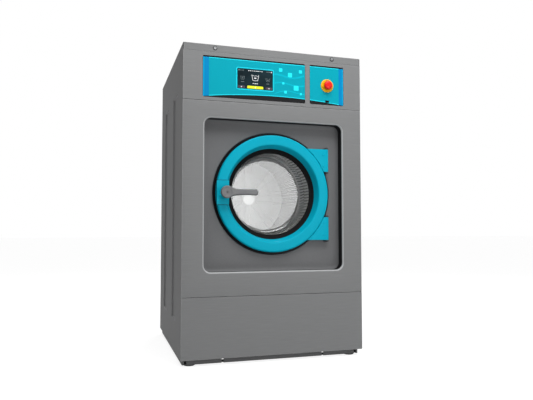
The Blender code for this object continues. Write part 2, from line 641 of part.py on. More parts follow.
def rounded_rectangle(half_width, half_height, radius, steps):
    """The outline of a rectangle with round corners, anticlockwise from its right side."""
    points = []
    for quarter, (side, rise) in enumerate(((1, 1), (-1, 1), (-1, -1), (1, -1))):
        for step in range(steps + 1):
            angle = math.pi / 2 * (quarter + step / steps)
            points.append(
                (
                    side * (half_width - radius) + radius * math.cos(angle),
                    rise * (half_height - radius) + radius * math.sin(angle),
                )
            )
    return points


def circle(radius, steps, turn=0.0):
    angles = [math.tau * (step + turn) / steps for step in range(steps)]
    return [(radius * math.cos(angle), radius * math.sin(angle)) for angle in angles]


def lofted(sections, closed=False):
    """Skins a run of (outline, z) sections of equally many points. An open run is capped at both ends."""
    bm = bmesh.new()
    rings = [[bm.verts.new((x, y, z)) for x, y in outline] for outline, z in sections]
    pairs = list(zip(rings, rings[1:]))
    if closed:
        pairs.append((rings[-1], rings[0]))
    else:
        bm.faces.new(rings[0])
        bm.faces.new(rings[-1])
    for low, high in pairs:
        for i in range(len(low)):
            j = (i + 1) % len(low)
            bm.faces.new((low[i], low[j], high[j], high[i]))
    return closed_mesh(bm)


def swept(points, radius, steps):
    """A round rod along points: a curve with a bevel and filled caps, made a mesh."""
    curve = bpy.data.curves.new("route", "CURVE")
    curve.dimensions = "3D"
    curve.bevel_depth = radius
    curve.bevel_resolution = (steps - 4) // 2
    curve.use_fill_caps = True
    spline = curve.splines.new("POLY")
    spline.points.add(len(points) - 1)
    for place, point in zip(spline.points, points):
        place.co = (*point, 1)
    holder = bpy.data.objects.new("route", curve)
    bpy.context.scene.collection.objects.link(holder)
    mesh = baked(holder)
    bm = bmesh.new()
    bm.from_mesh(mesh)
    bpy.data.meshes.remove(mesh)
    bmesh.ops.remove_doubles(bm, verts=bm.verts[:], dist=1e-6)
    return closed_mesh(bm)


def baked(holder):
    """The evaluated mesh of an object, which is removed."""
    bpy.context.view_layer.update()
    shown = holder.evaluated_get(bpy.context.evaluated_depsgraph_get())
    mesh = bpy.data.meshes.new_from_object(shown)
    data = holder.data
    bpy.data.objects.remove(holder)
    if isinstance(data, bpy.types.Mesh):
        bpy.data.meshes.remove(data)
    else:
        bpy.data.curves.remove(data)
    return mesh


def combined(mesh, others, operation):
    """Booleans a mesh with others in turn: UNION, DIFFERENCE or INTERSECT."""
    base = bpy.data.objects.new("base", mesh)
    bpy.context.scene.collection.objects.link(base)
    tools = []
    for other in others:
        tool = bpy.data.objects.new("tool", other)
        tool.hide_render = True
        tool.display_type = "WIRE"
        bpy.context.scene.collection.objects.link(tool)
        modifier = base.modifiers.new("cut", "BOOLEAN")
        modifier.operation = operation
        modifier.solver = "EXACT"
        modifier.object = tool
        tools.append(tool)
    result = baked(base)
    for tool in tools:
        data = tool.data
        bpy.data.objects.remove(tool)
        bpy.data.meshes.remove(data)
    return result


def joined(mesh, *others):
    return combined(mesh, others, "UNION")


def cut(mesh, *others):
    return combined(mesh, others, "DIFFERENCE")


def kept_inside(mesh, other):
    return combined(mesh, [other], "INTERSECT")


def moved(mesh, x=0.0, y=0.0, z=0.0, turn=None, axis="Z"):
    """Turns a mesh about an axis through the origin, then moves it."""
    matrix = Matrix.Translation((x, y, z))
    if turn is not None:
        matrix = matrix @ Matrix.Rotation(turn, 4, axis)
    mesh.transform(matrix)
    return mesh


def facing_front(mesh, x=0.0, depth=0.0, z=0.0):
    """Lays a form made along Z with its Z pointing into the cabinet."""
    return moved(mesh, x, at_depth(depth), z, -math.pi / 2, "X")


def rod(radius, start, end, steps):
    """A plain cylinder along Z."""
    return extruded(circle(radius, steps), start, end)


def on_door_axis(thing):
    """Puts a form turned about Z, measured in depths, on the axis of the door and the drum."""
    thing.location = (0, at_depth(0), DOOR_Z)
    thing.rotation_euler = (-math.pi / 2, 0, 0)
    return thing


# Cabinet
def tray(half_width, half_height, flange, side_inset, rise_inset):
    """A sheet with a folded flange set in from its edge, made along Z with its face at zero."""
    def outline(inset):
        return rounded_rectangle(
            half_width - side_inset * (inset > 0) - SKIN * (inset > 1),
            half_height - rise_inset * (inset > 0) - SKIN * (inset > 1),
            PANEL_CORNER_RADIUS,
            SHARP_CORNER_STEPS,
        )

    return lofted(
        [
            (outline(0), 0),
            (outline(0), SKIN),
            (outline(1), SKIN),
            (outline(1), flange),
            (outline(2), flange),
            (outline(2), SKIN),
        ]
    )


def front_tray(bottom, top):
    return facing_front(
        tray(HALF_WIDTH, (top - bottom) / 2, PANEL_FLANGE_DEPTH, PANEL_SIDE_INSET, FLANGE_STEP),
        z=(bottom + top) / 2,
    )


def lower_front_panel():
    mesh = front_tray(PLINTH_HEIGHT, LOWER_SEAM_Z - PANEL_SEAM / 2)
    return finished("lower_front_panel", mesh, "grey_paint")


def middle_front_panel():
    bottom = LOWER_SEAM_Z + PANEL_SEAM / 2
    top = UPPER_SEAM_Z - PANEL_SEAM / 2
    half_height = (top - bottom) / 2
    drop = (top + bottom) / 2 - OPENING_Z

    def outer(inset):
        return rounded_rectangle(
            HALF_WIDTH - PANEL_SIDE_INSET * (inset > 0) - SKIN * (inset > 1),
            half_height - FLANGE_STEP * (inset > 0) - SKIN * (inset > 1),
            PANEL_CORNER_RADIUS,
            CORNER_STEPS,
        )

    def opening(growth):
        points = rounded_rectangle(
            OPENING_HALF_WIDTH + growth, OPENING_HALF_HEIGHT + growth, OPENING_CORNER + growth, CORNER_STEPS
        )
        return [(x, y + drop) for x, y in points]

    bend = math.radians(45)
    inner_bend = LIP_RADIUS - SKIN
    mesh = lofted(
        [
            (outer(0), 0),
            (outer(0), SKIN),
            (outer(1), SKIN),
            (outer(1), PANEL_FLANGE_DEPTH),
            (outer(2), PANEL_FLANGE_DEPTH),
            (outer(2), SKIN),
            (opening(LIP_RADIUS), SKIN),
            (opening(LIP_RADIUS - inner_bend * math.sin(bend)), LIP_RADIUS - inner_bend * math.cos(bend)),
            (opening(SKIN), LIP_RADIUS),
            (opening(0), LIP_RADIUS),
            (opening(LIP_RADIUS * (1 - math.sin(bend))), LIP_RADIUS * (1 - math.cos(bend))),
            (opening(LIP_RADIUS), 0),
        ],
        closed=True,
    )
    mesh = facing_front(mesh, z=(top + bottom) / 2)
    return finished("middle_front_panel", mesh, "grey_paint")


def control_window(left, right):
    outline = rounded_rectangle(
        (right - left) / 2, (CONTROL_TOP_Z - CONTROL_BOTTOM_Z) / 2, CONTROL_CORNER, SHARP_CORNER_STEPS
    )
    cutter = extruded(outline, -OVERRUN, OVERRUN)
    return facing_front(cutter, x=(left + right) / 2, z=CONTROL_MIDDLE_Z)


def upper_front_panel():
    mesh = front_tray(UPPER_SEAM_Z + PANEL_SEAM / 2, CABINET_HEIGHT - TOP_FLANGE_HEIGHT - PANEL_SEAM / 2)
    mesh = cut(
        mesh,
        control_window(-CONTROL_HALF_WIDTH, MULLION_LEFT),
        control_window(MULLION_RIGHT, CONTROL_HALF_WIDTH),
    )
    return finished("upper_front_panel", mesh, "grey_paint")


def top_panel():
    depth = REAR_PANEL_DEPTH + SKIN
    mesh = tray(HALF_WIDTH, depth / 2, TOP_FLANGE_HEIGHT, PANEL_SIDE_INSET, FLANGE_STEP)
    mesh = moved(mesh, y=at_depth(depth / 2), z=CABINET_HEIGHT, turn=math.pi, axis="X")
    return finished("top_panel", mesh, "grey_paint")


def side_panel(name, side):
    """One sheet with two pressed stiffening recesses, folded in at its back."""
    front = SKIN + SEAT_GAP
    back = CABINET_DEPTH
    depths = [front]
    for start in (FRONT_RECESS_DEPTH, REAR_RECESS_DEPTH):
        depths += [start, start + RECESS_WIDTH]
    depths.append(back)
    heights = [PLINTH_HEIGHT, RECESS_BOTTOM_Z, RECESS_TOP_Z, FRAME_TOP_Z, CABINET_HEIGHT - SKIN - SEAT_GAP]
    bm = bmesh.new()
    grid = [[bm.verts.new((HALF_WIDTH, at_depth(depth), z)) for depth in depths] for z in heights]
    cells = {}
    for row in range(len(heights) - 1):
        for column in range(len(depths) - 1):
            cells[row, column] = bm.faces.new(
                (
                    grid[row][column],
                    grid[row][column + 1],
                    grid[row + 1][column + 1],
                    grid[row + 1][column],
                )
            )
    for column in (1, 3):
        bmesh.ops.inset_region(
            bm, faces=[cells[1, column]], thickness=RECESS_CHAMFER, depth=-RECESS_DEPTH, use_even_offset=True
        )
    limit = at_depth(back) - SEAT_GAP
    limit_z = FRAME_TOP_Z + SEAT_GAP
    folded = [edge for edge in bm.edges if all(end.co.y > limit and end.co.z < limit_z for end in edge.verts)]
    grown = bmesh.ops.extrude_edge_only(bm, edges=folded)["geom"]
    new_points = [point for point in grown if isinstance(point, bmesh.types.BMVert)]
    bmesh.ops.translate(bm, verts=new_points, vec=(-SIDE_FLANGE, 0, 0))
    sheet = bpy.data.meshes.new("sheet")
    bm.to_mesh(sheet)
    bm.free()
    holder = bpy.data.objects.new("sheet", sheet)
    bpy.context.scene.collection.objects.link(holder)
    wall = holder.modifiers.new("wall", "SOLIDIFY")
    wall.thickness = SKIN
    wall.offset = -1
    wall.use_even_offset = True
    mesh = baked(holder)
    if side < 0:
        mesh.transform(Matrix.Diagonal((-1, 1, 1, 1)))
        mesh.flip_normals()
    bm = bmesh.new()
    bm.from_mesh(mesh)
    bpy.data.meshes.remove(mesh)
    return finished(name, closed_mesh(bm), "grey_paint", 20.0)


def rear_panel():
    bottom = PLINTH_HEIGHT
    top = CABINET_HEIGHT - TOP_FLANGE_HEIGHT - PANEL_SEAM
    half_width = HALF_WIDTH - REAR_PANEL_INSET
    outline = rounded_rectangle(half_width, (top - bottom) / 2, PANEL_CORNER_RADIUS, SHARP_CORNER_STEPS)
    mesh = facing_front(extruded(outline, 0, SKIN), depth=REAR_PANEL_DEPTH, z=(top + bottom) / 2)
    cutters = [rear_hole(DRAIN_HOSE_X, DRAIN_HOSE_REST_Z, DRAIN_HOSE_RADIUS + DRAIN_HOLE_CLEARANCE)]
    cutters += [rear_hole(x, VALVE_Z, VALVE_INLET_RADIUS + SEAT_GAP) for x in valve_places()]
    cutters.append(rear_hole(GLAND_X, VALVE_Z, GLAND_RADIUS + SEAT_GAP))
    for step in range(LOUVRE_COUNT):
        z = LOUVRE_TOP_Z - LOUVRE_PITCH * step
        for side in (-1, 1):
            x = side * (half_width + SERVICE_OPENING_WIDTH / 2 - LOUVRE_WIDTH) / 2
            cutters.append(
                block(
                    (x, at_depth(REAR_PANEL_DEPTH) - OVERRUN, z),
                    (x + LOUVRE_WIDTH * side / 2, at_depth(REAR_PANEL_DEPTH) + OVERRUN, z + LOUVRE_HEIGHT),
                )
            )
    return finished("rear_panel", cut(mesh, *cutters), "galvanised")


def rear_hole(x, z, radius):
    clear = radius / math.cos(math.pi / SMALL_STEPS)
    return facing_front(rod(clear, -OVERRUN, OVERRUN, SMALL_STEPS), x=x, depth=REAR_PANEL_DEPTH, z=z)


def base_frame():
    """The channel ring that the machine stands on, the rails for the suspension and the damper tubes."""
    half_width = HALF_WIDTH - BASE_SIDE_INSET
    front = BASE_SETBACK
    back = CABINET_DEPTH - BASE_REAR_INSET
    half_depth = (back - front) / 2

    def outline(inset):
        return rounded_rectangle(
            half_width - inset, half_depth - inset, PANEL_CORNER_RADIUS, SHARP_CORNER_STEPS
        )

    ring = lofted(
        [
            (outline(0), BASE_BOTTOM_Z),
            (outline(0), BASE_TOP_Z),
            (outline(BASE_LIP), BASE_TOP_Z),
            (outline(BASE_LIP), BASE_TOP_Z - BASE_WALL),
            (outline(BASE_WALL), BASE_TOP_Z - BASE_WALL),
            (outline(BASE_WALL), BASE_BOTTOM_Z + BASE_WALL),
            (outline(BASE_LIP), BASE_BOTTOM_Z + BASE_WALL),
            (outline(BASE_LIP), BASE_BOTTOM_Z),
        ],
        closed=True,
    )
    ring = moved(ring, y=at_depth((front + back) / 2))
    additions = [seat_rail(depth, half_width - BASE_WALL) for depth in (FRONT_MOUNT_DEPTH, REAR_MOUNT_DEPTH)]
    additions += [damper_tube(x, depth) for x, depth in mount_places()]
    cutters = []
    for x in (-OUTER_NOTCH_X, -INNER_NOTCH_X, INNER_NOTCH_X, OUTER_NOTCH_X):
        cutters.append(
            block(
                (x - NOTCH_WIDTH / 2, at_depth(front) - OVERRUN, BASE_BOTTOM_Z - OVERRUN),
                (x + NOTCH_WIDTH / 2, at_depth(front) + OVERRUN, BASE_BOTTOM_Z + NOTCH_HEIGHT),
            )
        )
    for side, end in FOOT_PLACES.values():
        hole = rod(
            FOOT_STEM_RADIUS + FOOT_HOLE_CLEARANCE,
            BASE_BOTTOM_Z - BASE_WALL,
            BASE_BOTTOM_Z + 2 * BASE_WALL,
            SMALL_STEPS,
        )
        cutters.append(moved(hole, side * FOOT_X, foot_y(end)))
    return finished("base_frame", cut(joined(ring, *additions), *cutters), "dark_paint")


def seat_rail(depth, half_length):
    """An upturned channel across the base, which the springs and dampers stand on."""
    half = SEAT_RAIL_WIDTH / 2
    foot = BASE_TOP_Z - BASE_WALL / 2
    inner = half - BASE_WALL
    outline = [
        (-half, foot),
        (-inner, foot),
        (-inner, SEAT_RAIL_TOP_Z - BASE_WALL),
        (inner, SEAT_RAIL_TOP_Z - BASE_WALL),
        (inner, foot),
        (half, foot),
        (half, SEAT_RAIL_TOP_Z),
        (-half, SEAT_RAIL_TOP_Z),
    ]
    bm = bmesh.new()
    base = bm.faces.new([bm.verts.new((-half_length, at_depth(depth) + y, z)) for y, z in outline])
    grown = bmesh.ops.extrude_face_region(bm, geom=[base])["geom"]
    far = [point for point in grown if isinstance(point, bmesh.types.BMVert)]
    bmesh.ops.translate(bm, verts=far, vec=(2 * half_length, 0, 0))
    return closed_mesh(bm)


def angle_bar(x_side, y_side, corner, length, axis):
    """An L-section bar from its outer corner, its legs running inwards along the two other axes."""
    leg = FRAME_ANGLE
    wall = FRAME_WALL
    outline = [(0, 0), (leg, 0), (leg, wall), (wall, wall), (wall, leg), (0, leg)]
    mesh = extruded([(x * x_side, y * y_side) for x, y in outline], 0, length)
    if axis == "X":
        mesh.transform(Matrix(((0, 0, 1, 0), (1, 0, 0, 0), (0, 1, 0, 0), (0, 0, 0, 1))))
    if axis == "Y":
        mesh.transform(Matrix(((1, 0, 0, 0), (0, 0, 1, 0), (0, 1, 0, 0), (0, 0, 0, 1))))
    return moved(mesh, *corner)


def body_frame():
    """Four corner posts tied by rails at the top, under the controls and under the opening."""
    front = at_depth(FRAME_FRONT_DEPTH)
    back = at_depth(FRAME_BACK_DEPTH)
    foot = BASE_TOP_Z + SEAT_GAP
    height = FRAME_TOP_Z - foot
    bars = []
    for side in (-1, 1):
        bars.append(angle_bar(-side, 1, (side * POST_OUTER_X, front, foot), height, "Z"))
        bars.append(angle_bar(-side, -1, (side * POST_OUTER_X, back, foot), height, "Z"))
    overlap = FRAME_WALL / 2
    for side in (-1, 1):
        corner = (side * POST_OUTER_X, front + overlap, FRAME_TOP_Z)
        bars.append(angle_bar(-side, -1, corner, back - front - 2 * overlap, "Y"))
    across = 2 * (POST_OUTER_X - overlap)
    start = -across / 2
    bars.append(angle_bar(-1, -1, (start, back, FRAME_TOP_Z), across, "X"))
    for z in (LOWER_RAIL_Z, UPPER_RAIL_Z):
        bars.append(angle_bar(1, 1, (start, front, z), across, "X"))
    return finished("body_frame", joined(bars[0], *bars[1:]), "galvanised")


def foot_y(end):
    if end < 0:
        return at_depth(BASE_SETBACK) + FOOT_INSET
    return at_depth(CABINET_DEPTH - BASE_REAR_INSET) - FOOT_INSET


def levelling_foot(name, side, end):
    """A pad that the base's lower flange stands on, and its threaded stem up through that flange."""
    mesh = turned(
        [
            (0, 0),
            (FOOT_RADIUS, 0),
            (FOOT_RADIUS, FOOT_THICKNESS / 2),
            (FOOT_STEM_RADIUS * 2, FOOT_THICKNESS),
            (FOOT_STEM_RADIUS, FOOT_THICKNESS),
            (FOOT_STEM_RADIUS, FOOT_STEM_TOP_Z),
            (0, FOOT_STEM_TOP_Z),
        ],
        SMALL_STEPS,
        closed=False,
    )
    return finished(name, moved(mesh, side * FOOT_X, foot_y(end)), "galvanised")


# Loading opening
def opening_trim():
    """The black frame that lines the step from the front panel down to the surround."""
    outer = TRIM_CLEARANCE
    front = LIP_RADIUS + SEAT_GAP
    back = SURROUND_DEPTH - SURROUND_RISE - SEAT_GAP

    def outline(growth):
        return rounded_rectangle(
            OPENING_HALF_WIDTH + growth, OPENING_HALF_HEIGHT + growth, OPENING_CORNER + growth, CORNER_STEPS
        )

    mesh = lofted(
        [
            (outline(outer), front),
            (outline(outer + TRIM_WALL), front),
            (outline(outer + TRIM_WALL), back),
            (outline(outer), back),
        ],
        closed=True,
    )
    return finished("opening_trim", facing_front(mesh, z=OPENING_Z), "black_plastic")


def door_surround():
    """The recessed plate: soft-edged outside, and rolled back round the loading port."""
    corner_steps = ROUND_STEPS // 4 - 1
    rise = DOOR_Z - OPENING_Z

    def outline(inset):
        return rounded_rectangle(
            OPENING_HALF_WIDTH + TRIM_CLEARANCE + TRIM_WALL - inset,
            OPENING_HALF_HEIGHT + TRIM_CLEARANCE + TRIM_WALL - inset,
            OPENING_CORNER + TRIM_CLEARANCE + TRIM_WALL - inset,
            corner_steps,
        )

    def port(growth):
        return [(x, y - rise) for x, y in circle(PORT_RADIUS + growth, ROUND_STEPS, 0.5)]

    edge = SURROUND_DEPTH - SURROUND_RISE
    shoulder = SURROUND_DEPTH - SURROUND_RISE / 4
    back = SURROUND_DEPTH + SKIN
    mesh = lofted(
        [
            (outline(0), edge),
            (outline(SURROUND_FILLET / 3), shoulder),
            (outline(SURROUND_FILLET), SURROUND_DEPTH),
            (port(2 * SKIN), SURROUND_DEPTH),
            (port(SKIN / 3), SURROUND_DEPTH + SKIN / 2),
            (port(0), SURROUND_DEPTH + SKIN),
            (port(0), SURROUND_DEPTH + PORT_LIP),
            (port(SKIN), SURROUND_DEPTH + PORT_LIP),
            (port(2 * SKIN), back),
            (outline(SURROUND_FILLET), back),
            (outline(SURROUND_FILLET / 3), shoulder + SKIN),
            (outline(0), edge + SKIN),
        ],
        closed=True,
    )
    return finished("door_surround", facing_front(mesh, z=OPENING_Z), "grey_paint", 50.0)


def port_collar():
    """The moulded ring behind the surround that holds the seal and lets the latch tongue through."""
    seat = SURROUND_DEPTH + SKIN + SEAT_GAP
    inner_seat = PORT_RADIUS + 2 * SKIN + 2 * SKIN
    outer = PORT_RADIUS + COLLAR_FLANGE
    dish = COLLAR_DEPTH
    reach = LOCK_BOLT_TRAVEL / 2
    slot_half = TONGUE_HEIGHT / 2 + TONGUE_CLEARANCE
    mesh = turned(
        [
            (inner_seat, seat),
            (outer, seat),
            (outer, seat + COLLAR_THICKNESS),
            (inner_seat, dish + COLLAR_THICKNESS),
            (COLLAR_INNER_RADIUS, dish + COLLAR_FALL + COLLAR_THICKNESS),
            (COLLAR_INNER_RADIUS, dish + COLLAR_FALL),
            (PORT_RADIUS + 2 * SKIN, dish),
        ],
        ROUND_STEPS,
    )
    slot = block(
        (TONGUE_X - reach, -slot_half, 0),
        (TONGUE_X + reach, slot_half, dish + 2 * OVERRUN),
    )
    return on_door_axis(finished("port_collar", cut(mesh, slot), "black_plastic"))


def door_seal():
    """The rubber bellows from the port collar to the tub's neck, with a lip for the door."""
    mouth = COLLAR_INNER_RADIUS - SEAT_GAP - SEAL_THICKNESS / 2
    fold = mouth + SEAL_FOLD
    neck = (TUB_NECK_RADIUS + TUB_WALL + SEAT_GAP) / math.cos(math.pi / ROUND_STEPS)
    sleeve = neck + SEAL_THICKNESS / 2
    front = DOOR_FRAME_BACK_DEPTH + SEAT_GAP + SEAL_THICKNESS / 2
    collar_back = COLLAR_DEPTH + COLLAR_FALL + COLLAR_THICKNESS + SEAT_GAP
    step = (TUB_NECK_DEPTH - collar_back) / 4
    line = [
        (mouth - SEAL_THICKNESS, front),
        (mouth, front + SEAL_THICKNESS),
        (mouth, collar_back + SEAL_THICKNESS / 2),
        (fold, collar_back + step),
        (fold, collar_back + 2 * step),
        (sleeve, collar_back + 3 * step),
        (sleeve, TUB_NECK_DEPTH + step),
    ]
    mesh = turned(thickened(line, SEAL_THICKNESS), ROUND_STEPS)
    return on_door_axis(finished("door_seal", mesh, "black_rubber"))


# Control panel
def control_backing():
    half_width = CONTROL_HALF_WIDTH + BACKING_MARGIN
    half_height = (CONTROL_TOP_Z - CONTROL_BOTTOM_Z) / 2 + BACKING_MARGIN / 2

    def outline(inset):
        return rounded_rectangle(half_width - inset, half_height - inset, CONTROL_CORNER, SHARP_CORNER_STEPS)

    mesh = lofted(
        [
            (outline(0), 0),
            (outline(0), BACKING_BOX_DEPTH),
            (outline(BACKING_WALL), BACKING_BOX_DEPTH),
            (outline(BACKING_WALL), BACKING_WALL),
        ]
    )
    mesh = facing_front(mesh, depth=BACKING_DEPTH, z=CONTROL_MIDDLE_Z)
    mesh = cut(mesh, screen_window(SCREEN_CLEARANCE), estop_hole())
    return finished("control_backing", mesh, "black_plastic")


def screen_window(growth):
    half_width = SCREEN_WIDTH / 2 + growth
    half_height = SCREEN_HEIGHT / 2 + growth
    outline = rounded_rectangle(half_width, half_height, SCREEN_CORNER + growth, SHARP_CORNER_STEPS)
    return facing_front(
        extruded(outline, -OVERRUN, OVERRUN),
        x=SCREEN_LEFT + SCREEN_WIDTH / 2,
        z=SCREEN_BOTTOM_Z + SCREEN_HEIGHT / 2,
    )


def estop_hole():
    mesh = rod(ESTOP_SLEEVE_RADIUS + SCREEN_CLEARANCE, -OVERRUN, OVERRUN, BUTTON_STEPS)
    return facing_front(mesh, x=ESTOP_X, z=ESTOP_Z)


def overlay_plate(left, right):
    """A flush facia plate whose foot follows one shallow arc across the whole panel."""
    top = CONTROL_TOP_Z - OVERLAY_TOP_DROP
    outline = [(left, top)]
    samples = 9
    for step in range(samples):
        x = left + (right - left) * step / (samples - 1)
        crown = 1 - (x / CONTROL_HALF_WIDTH) ** 2
        outline.append((x, CONTROL_BOTTOM_Z + OVERLAY_BOTTOM_RISE + OVERLAY_ARC_RISE * crown))
    outline.append((right, top))
    mesh = extruded([(x, -z) for x, z in outline], 0, OVERLAY_THICKNESS)
    return facing_front(mesh, depth=OVERLAY_FACE_DEPTH)


def control_overlay():
    mesh = overlay_plate(-CONTROL_HALF_WIDTH + OVERLAY_INSET, MULLION_LEFT - OVERLAY_INSET)
    return finished("control_overlay", cut(mesh, screen_window(SCREEN_CLEARANCE)), "overlay")


def socket_box(growth, front, back):
    low = (SOCKET_X - SOCKET_WIDTH / 2 - growth, at_depth(front), SOCKET_Z - SOCKET_HEIGHT / 2 - growth)
    high = (SOCKET_X + SOCKET_WIDTH / 2 + growth, at_depth(back), SOCKET_Z + SOCKET_HEIGHT / 2 + growth)
    return block(low, high)


def estop_plate():
    mesh = overlay_plate(MULLION_RIGHT + OVERLAY_INSET, CONTROL_HALF_WIDTH - OVERLAY_INSET)
    mesh = cut(mesh, estop_hole(), socket_box(SEAT_GAP, -OVERRUN, OVERRUN))
    return finished("estop_plate", mesh, "overlay")


def service_socket_cover():
    mesh = socket_box(0, OVERLAY_FACE_DEPTH - SOCKET_PROUD, BACKING_DEPTH - SEAT_GAP)
    return finished("service_socket_cover", mesh, "black_rubber")


def touchscreen():
    outline = rounded_rectangle(SCREEN_WIDTH / 2, SCREEN_HEIGHT / 2, SCREEN_CORNER, SHARP_CORNER_STEPS)
    mesh = facing_front(
        extruded(outline, OVERLAY_FACE_DEPTH, OVERLAY_FACE_DEPTH + SCREEN_THICKNESS),
        x=SCREEN_LEFT + SCREEN_WIDTH / 2,
        z=SCREEN_BOTTOM_Z + SCREEN_HEIGHT / 2,
    )
    return finished("touchscreen", mesh, "screen")


def control_board_box():
    """The plate that closes the backing tray, and on it the electronics box, ribbed on top to shed heat."""
    front = BACKING_DEPTH + BACKING_BOX_DEPTH + SEAT_GAP
    right = BOARD_BOX_LEFT + BOARD_BOX_WIDTH
    pitch = BOARD_BOX_WIDTH / BOARD_BOX_RIB_COUNT
    top = BOARD_BOX_BOTTOM_Z + BOARD_BOX_HEIGHT
    outline = [(BOARD_BOX_LEFT, BOARD_BOX_BOTTOM_Z), (right, BOARD_BOX_BOTTOM_Z)]
    for step in range(BOARD_BOX_RIB_COUNT):
        start = right - pitch * step
        outline += [
            (start, top),
            (start - pitch / 2, top),
            (start - pitch / 2, top - BOARD_BOX_RIB),
            (start - pitch, top - BOARD_BOX_RIB),
        ]
    box = extruded([(x, -z) for x, z in outline], SKIN / 2, BOARD_BOX_DEPTH)
    half_width = CONTROL_HALF_WIDTH + BACKING_MARGIN
    half_height = (CONTROL_TOP_Z - CONTROL_BOTTOM_Z) / 2 + BACKING_MARGIN / 2
    plate = extruded(rounded_rectangle(half_width, half_height, CONTROL_CORNER, SHARP_CORNER_STEPS), 0, SKIN)
    plate = moved(plate, y=-CONTROL_MIDDLE_Z)
    return finished("control_board_box", facing_front(joined(plate, box), depth=front), "galvanised")


def estop_collar():
    face = -ESTOP_COLLAR_THICKNESS
    mesh = turned(
        [
            (ESTOP_BORE_RADIUS, face),
            (ESTOP_COLLAR_RADIUS - ESTOP_COLLAR_THICKNESS / 2, face),
            (ESTOP_COLLAR_RADIUS, face / 3),
            (ESTOP_COLLAR_RADIUS, 0),
            (ESTOP_SLEEVE_RADIUS, 0),
            (ESTOP_SLEEVE_RADIUS, ESTOP_SLEEVE_DEPTH),
            (ESTOP_BORE_RADIUS, ESTOP_SLEEVE_DEPTH),
        ],
        BUTTON_STEPS,
    )
    mesh = facing_front(mesh, x=ESTOP_X, depth=OVERLAY_FACE_DEPTH - SEAT_GAP, z=ESTOP_Z)
    return finished("estop_collar", mesh, "warning_yellow")


def estop_stem():
    """The plunger, which slides in the collar's sleeve and carries the head on a spigot."""
    front = COLLAR_FACE_DEPTH - ESTOP_TRAVEL_GAP + SEAT_GAP
    mesh = turned(
        [
            (0, front - ESTOP_SPIGOT_LENGTH),
            (ESTOP_SPIGOT_RADIUS, front - ESTOP_SPIGOT_LENGTH),
            (ESTOP_SPIGOT_RADIUS, front),
            (ESTOP_STEM_RADIUS, front),
            (ESTOP_STEM_RADIUS, front + ESTOP_STEM_DEPTH),
            (0, front + ESTOP_STEM_DEPTH),
        ],
        BUTTON_STEPS,
        closed=False,
    )
    thing = finished("estop_stem", mesh, "black_plastic")
    thing.location = (ESTOP_X, at_depth(0), ESTOP_Z)
    thing.rotation_euler = (-math.pi / 2, 0, 0)
    return thing


def estop_head():
    face = HEAD_FACE_DEPTH
    back = face + ESTOP_HEAD_HEIGHT
    hollow = ESTOP_SPIGOT_RADIUS + SEAT_GAP
    mesh = turned(
        [
            (0, face),
            (ESTOP_HEAD_RADIUS - ESTOP_HEAD_HEIGHT / 3, face),
            (ESTOP_HEAD_RADIUS, face + ESTOP_HEAD_HEIGHT / 4),
            (ESTOP_HEAD_RADIUS, back - ESTOP_HEAD_HEIGHT / 4),
            (ESTOP_STEM_RADIUS + ESTOP_HEAD_HEIGHT / 4, back),
            (hollow, back),
            (hollow, back - ESTOP_SPIGOT_LENGTH),
            (0, back - ESTOP_SPIGOT_LENGTH),
        ],
        BUTTON_STEPS,
        closed=False,
    )
    thing = finished("estop_head", mesh, "signal_red")
    thing.location = (ESTOP_X, at_depth(0), ESTOP_Z)
    thing.rotation_euler = (-math.pi / 2, 0, 0)
    return thing


# Door
def ring_profile():
    """The ring's section: a channel open at the back, round-edged outside, coned inside."""
    edge = RING_EDGE_RADIUS
    bend = math.radians(45)
    outer = RING_OUTER_RADIUS
    inner = RING_INNER_WALL_RADIUS
    throat_wall = RING_THROAT_RADIUS + RING_WALL
    face_wall = RING_FACE_RADIUS + RING_WALL
    return [
        (outer, RING_BACK_DEPTH),
        (outer, RING_FACE_DEPTH + edge),
        (outer - edge * (1 - math.cos(bend)), RING_FACE_DEPTH + edge * (1 - math.sin(bend))),
        (outer - edge, RING_FACE_DEPTH),
        (RING_FACE_RADIUS + RING_WALL, RING_FACE_DEPTH),
        (RING_FACE_RADIUS, RING_FACE_DEPTH + RING_WALL / 3),
        (RING_THROAT_RADIUS, RING_THROAT_DEPTH),
        (throat_wall, RING_THROAT_DEPTH),
        (face_wall, RING_FACE_DEPTH + RING_WALL),
        (inner - RING_WALL, RING_FACE_DEPTH + RING_WALL),
        (inner, RING_FACE_DEPTH + 2 * RING_WALL),
        (inner, RING_BACK_DEPTH),
    ]


def shaft_hole():
    """The clearance for the handle shaft, in the door's own turned frame."""
    radius = HANDLE_SHAFT_RADIUS + HANDLE_SHAFT_CLEARANCE
    return moved(rod(radius, -OVERRUN, HANDLE_SHAFT_END_DEPTH + SEAT_GAP, SMALL_STEPS), HANDLE_X)


def door_ring():
    mesh = cut(turned(ring_profile(), ROUND_STEPS), shaft_hole())
    return on_door_axis(finished("door_ring", mesh, "turquoise"))


def door_frame():
    """The casting that fills the ring's channel, carries the glass and lands on the seal."""
    outer = RING_INNER_WALL_RADIUS - SEAT_GAP
    face = RING_FACE_DEPTH + RING_WALL + SEAT_GAP
    bore = GASKET_OUTER_RADIUS + SEAT_GAP
    mesh = turned(
        [
            (outer, face + RING_WALL),
            (outer, DOOR_FRAME_BACK_DEPTH),
            (DOOR_FRAME_COLLAR_RADIUS, DOOR_FRAME_BACK_DEPTH),
            (DOOR_FRAME_COLLAR_RADIUS, DOOR_FRAME_COLLAR_DEPTH),
            (bore, DOOR_FRAME_COLLAR_DEPTH),
            (bore, RING_THROAT_DEPTH + 2 * SEAT_GAP),
            (RING_FACE_RADIUS + RING_WALL + 2 * SEAT_GAP, face),
            (outer - RING_WALL - SEAT_GAP, face),
        ],
        ROUND_STEPS,
    )
    return on_door_axis(finished("door_frame", cut(mesh, shaft_hole()), "cast_aluminium"))


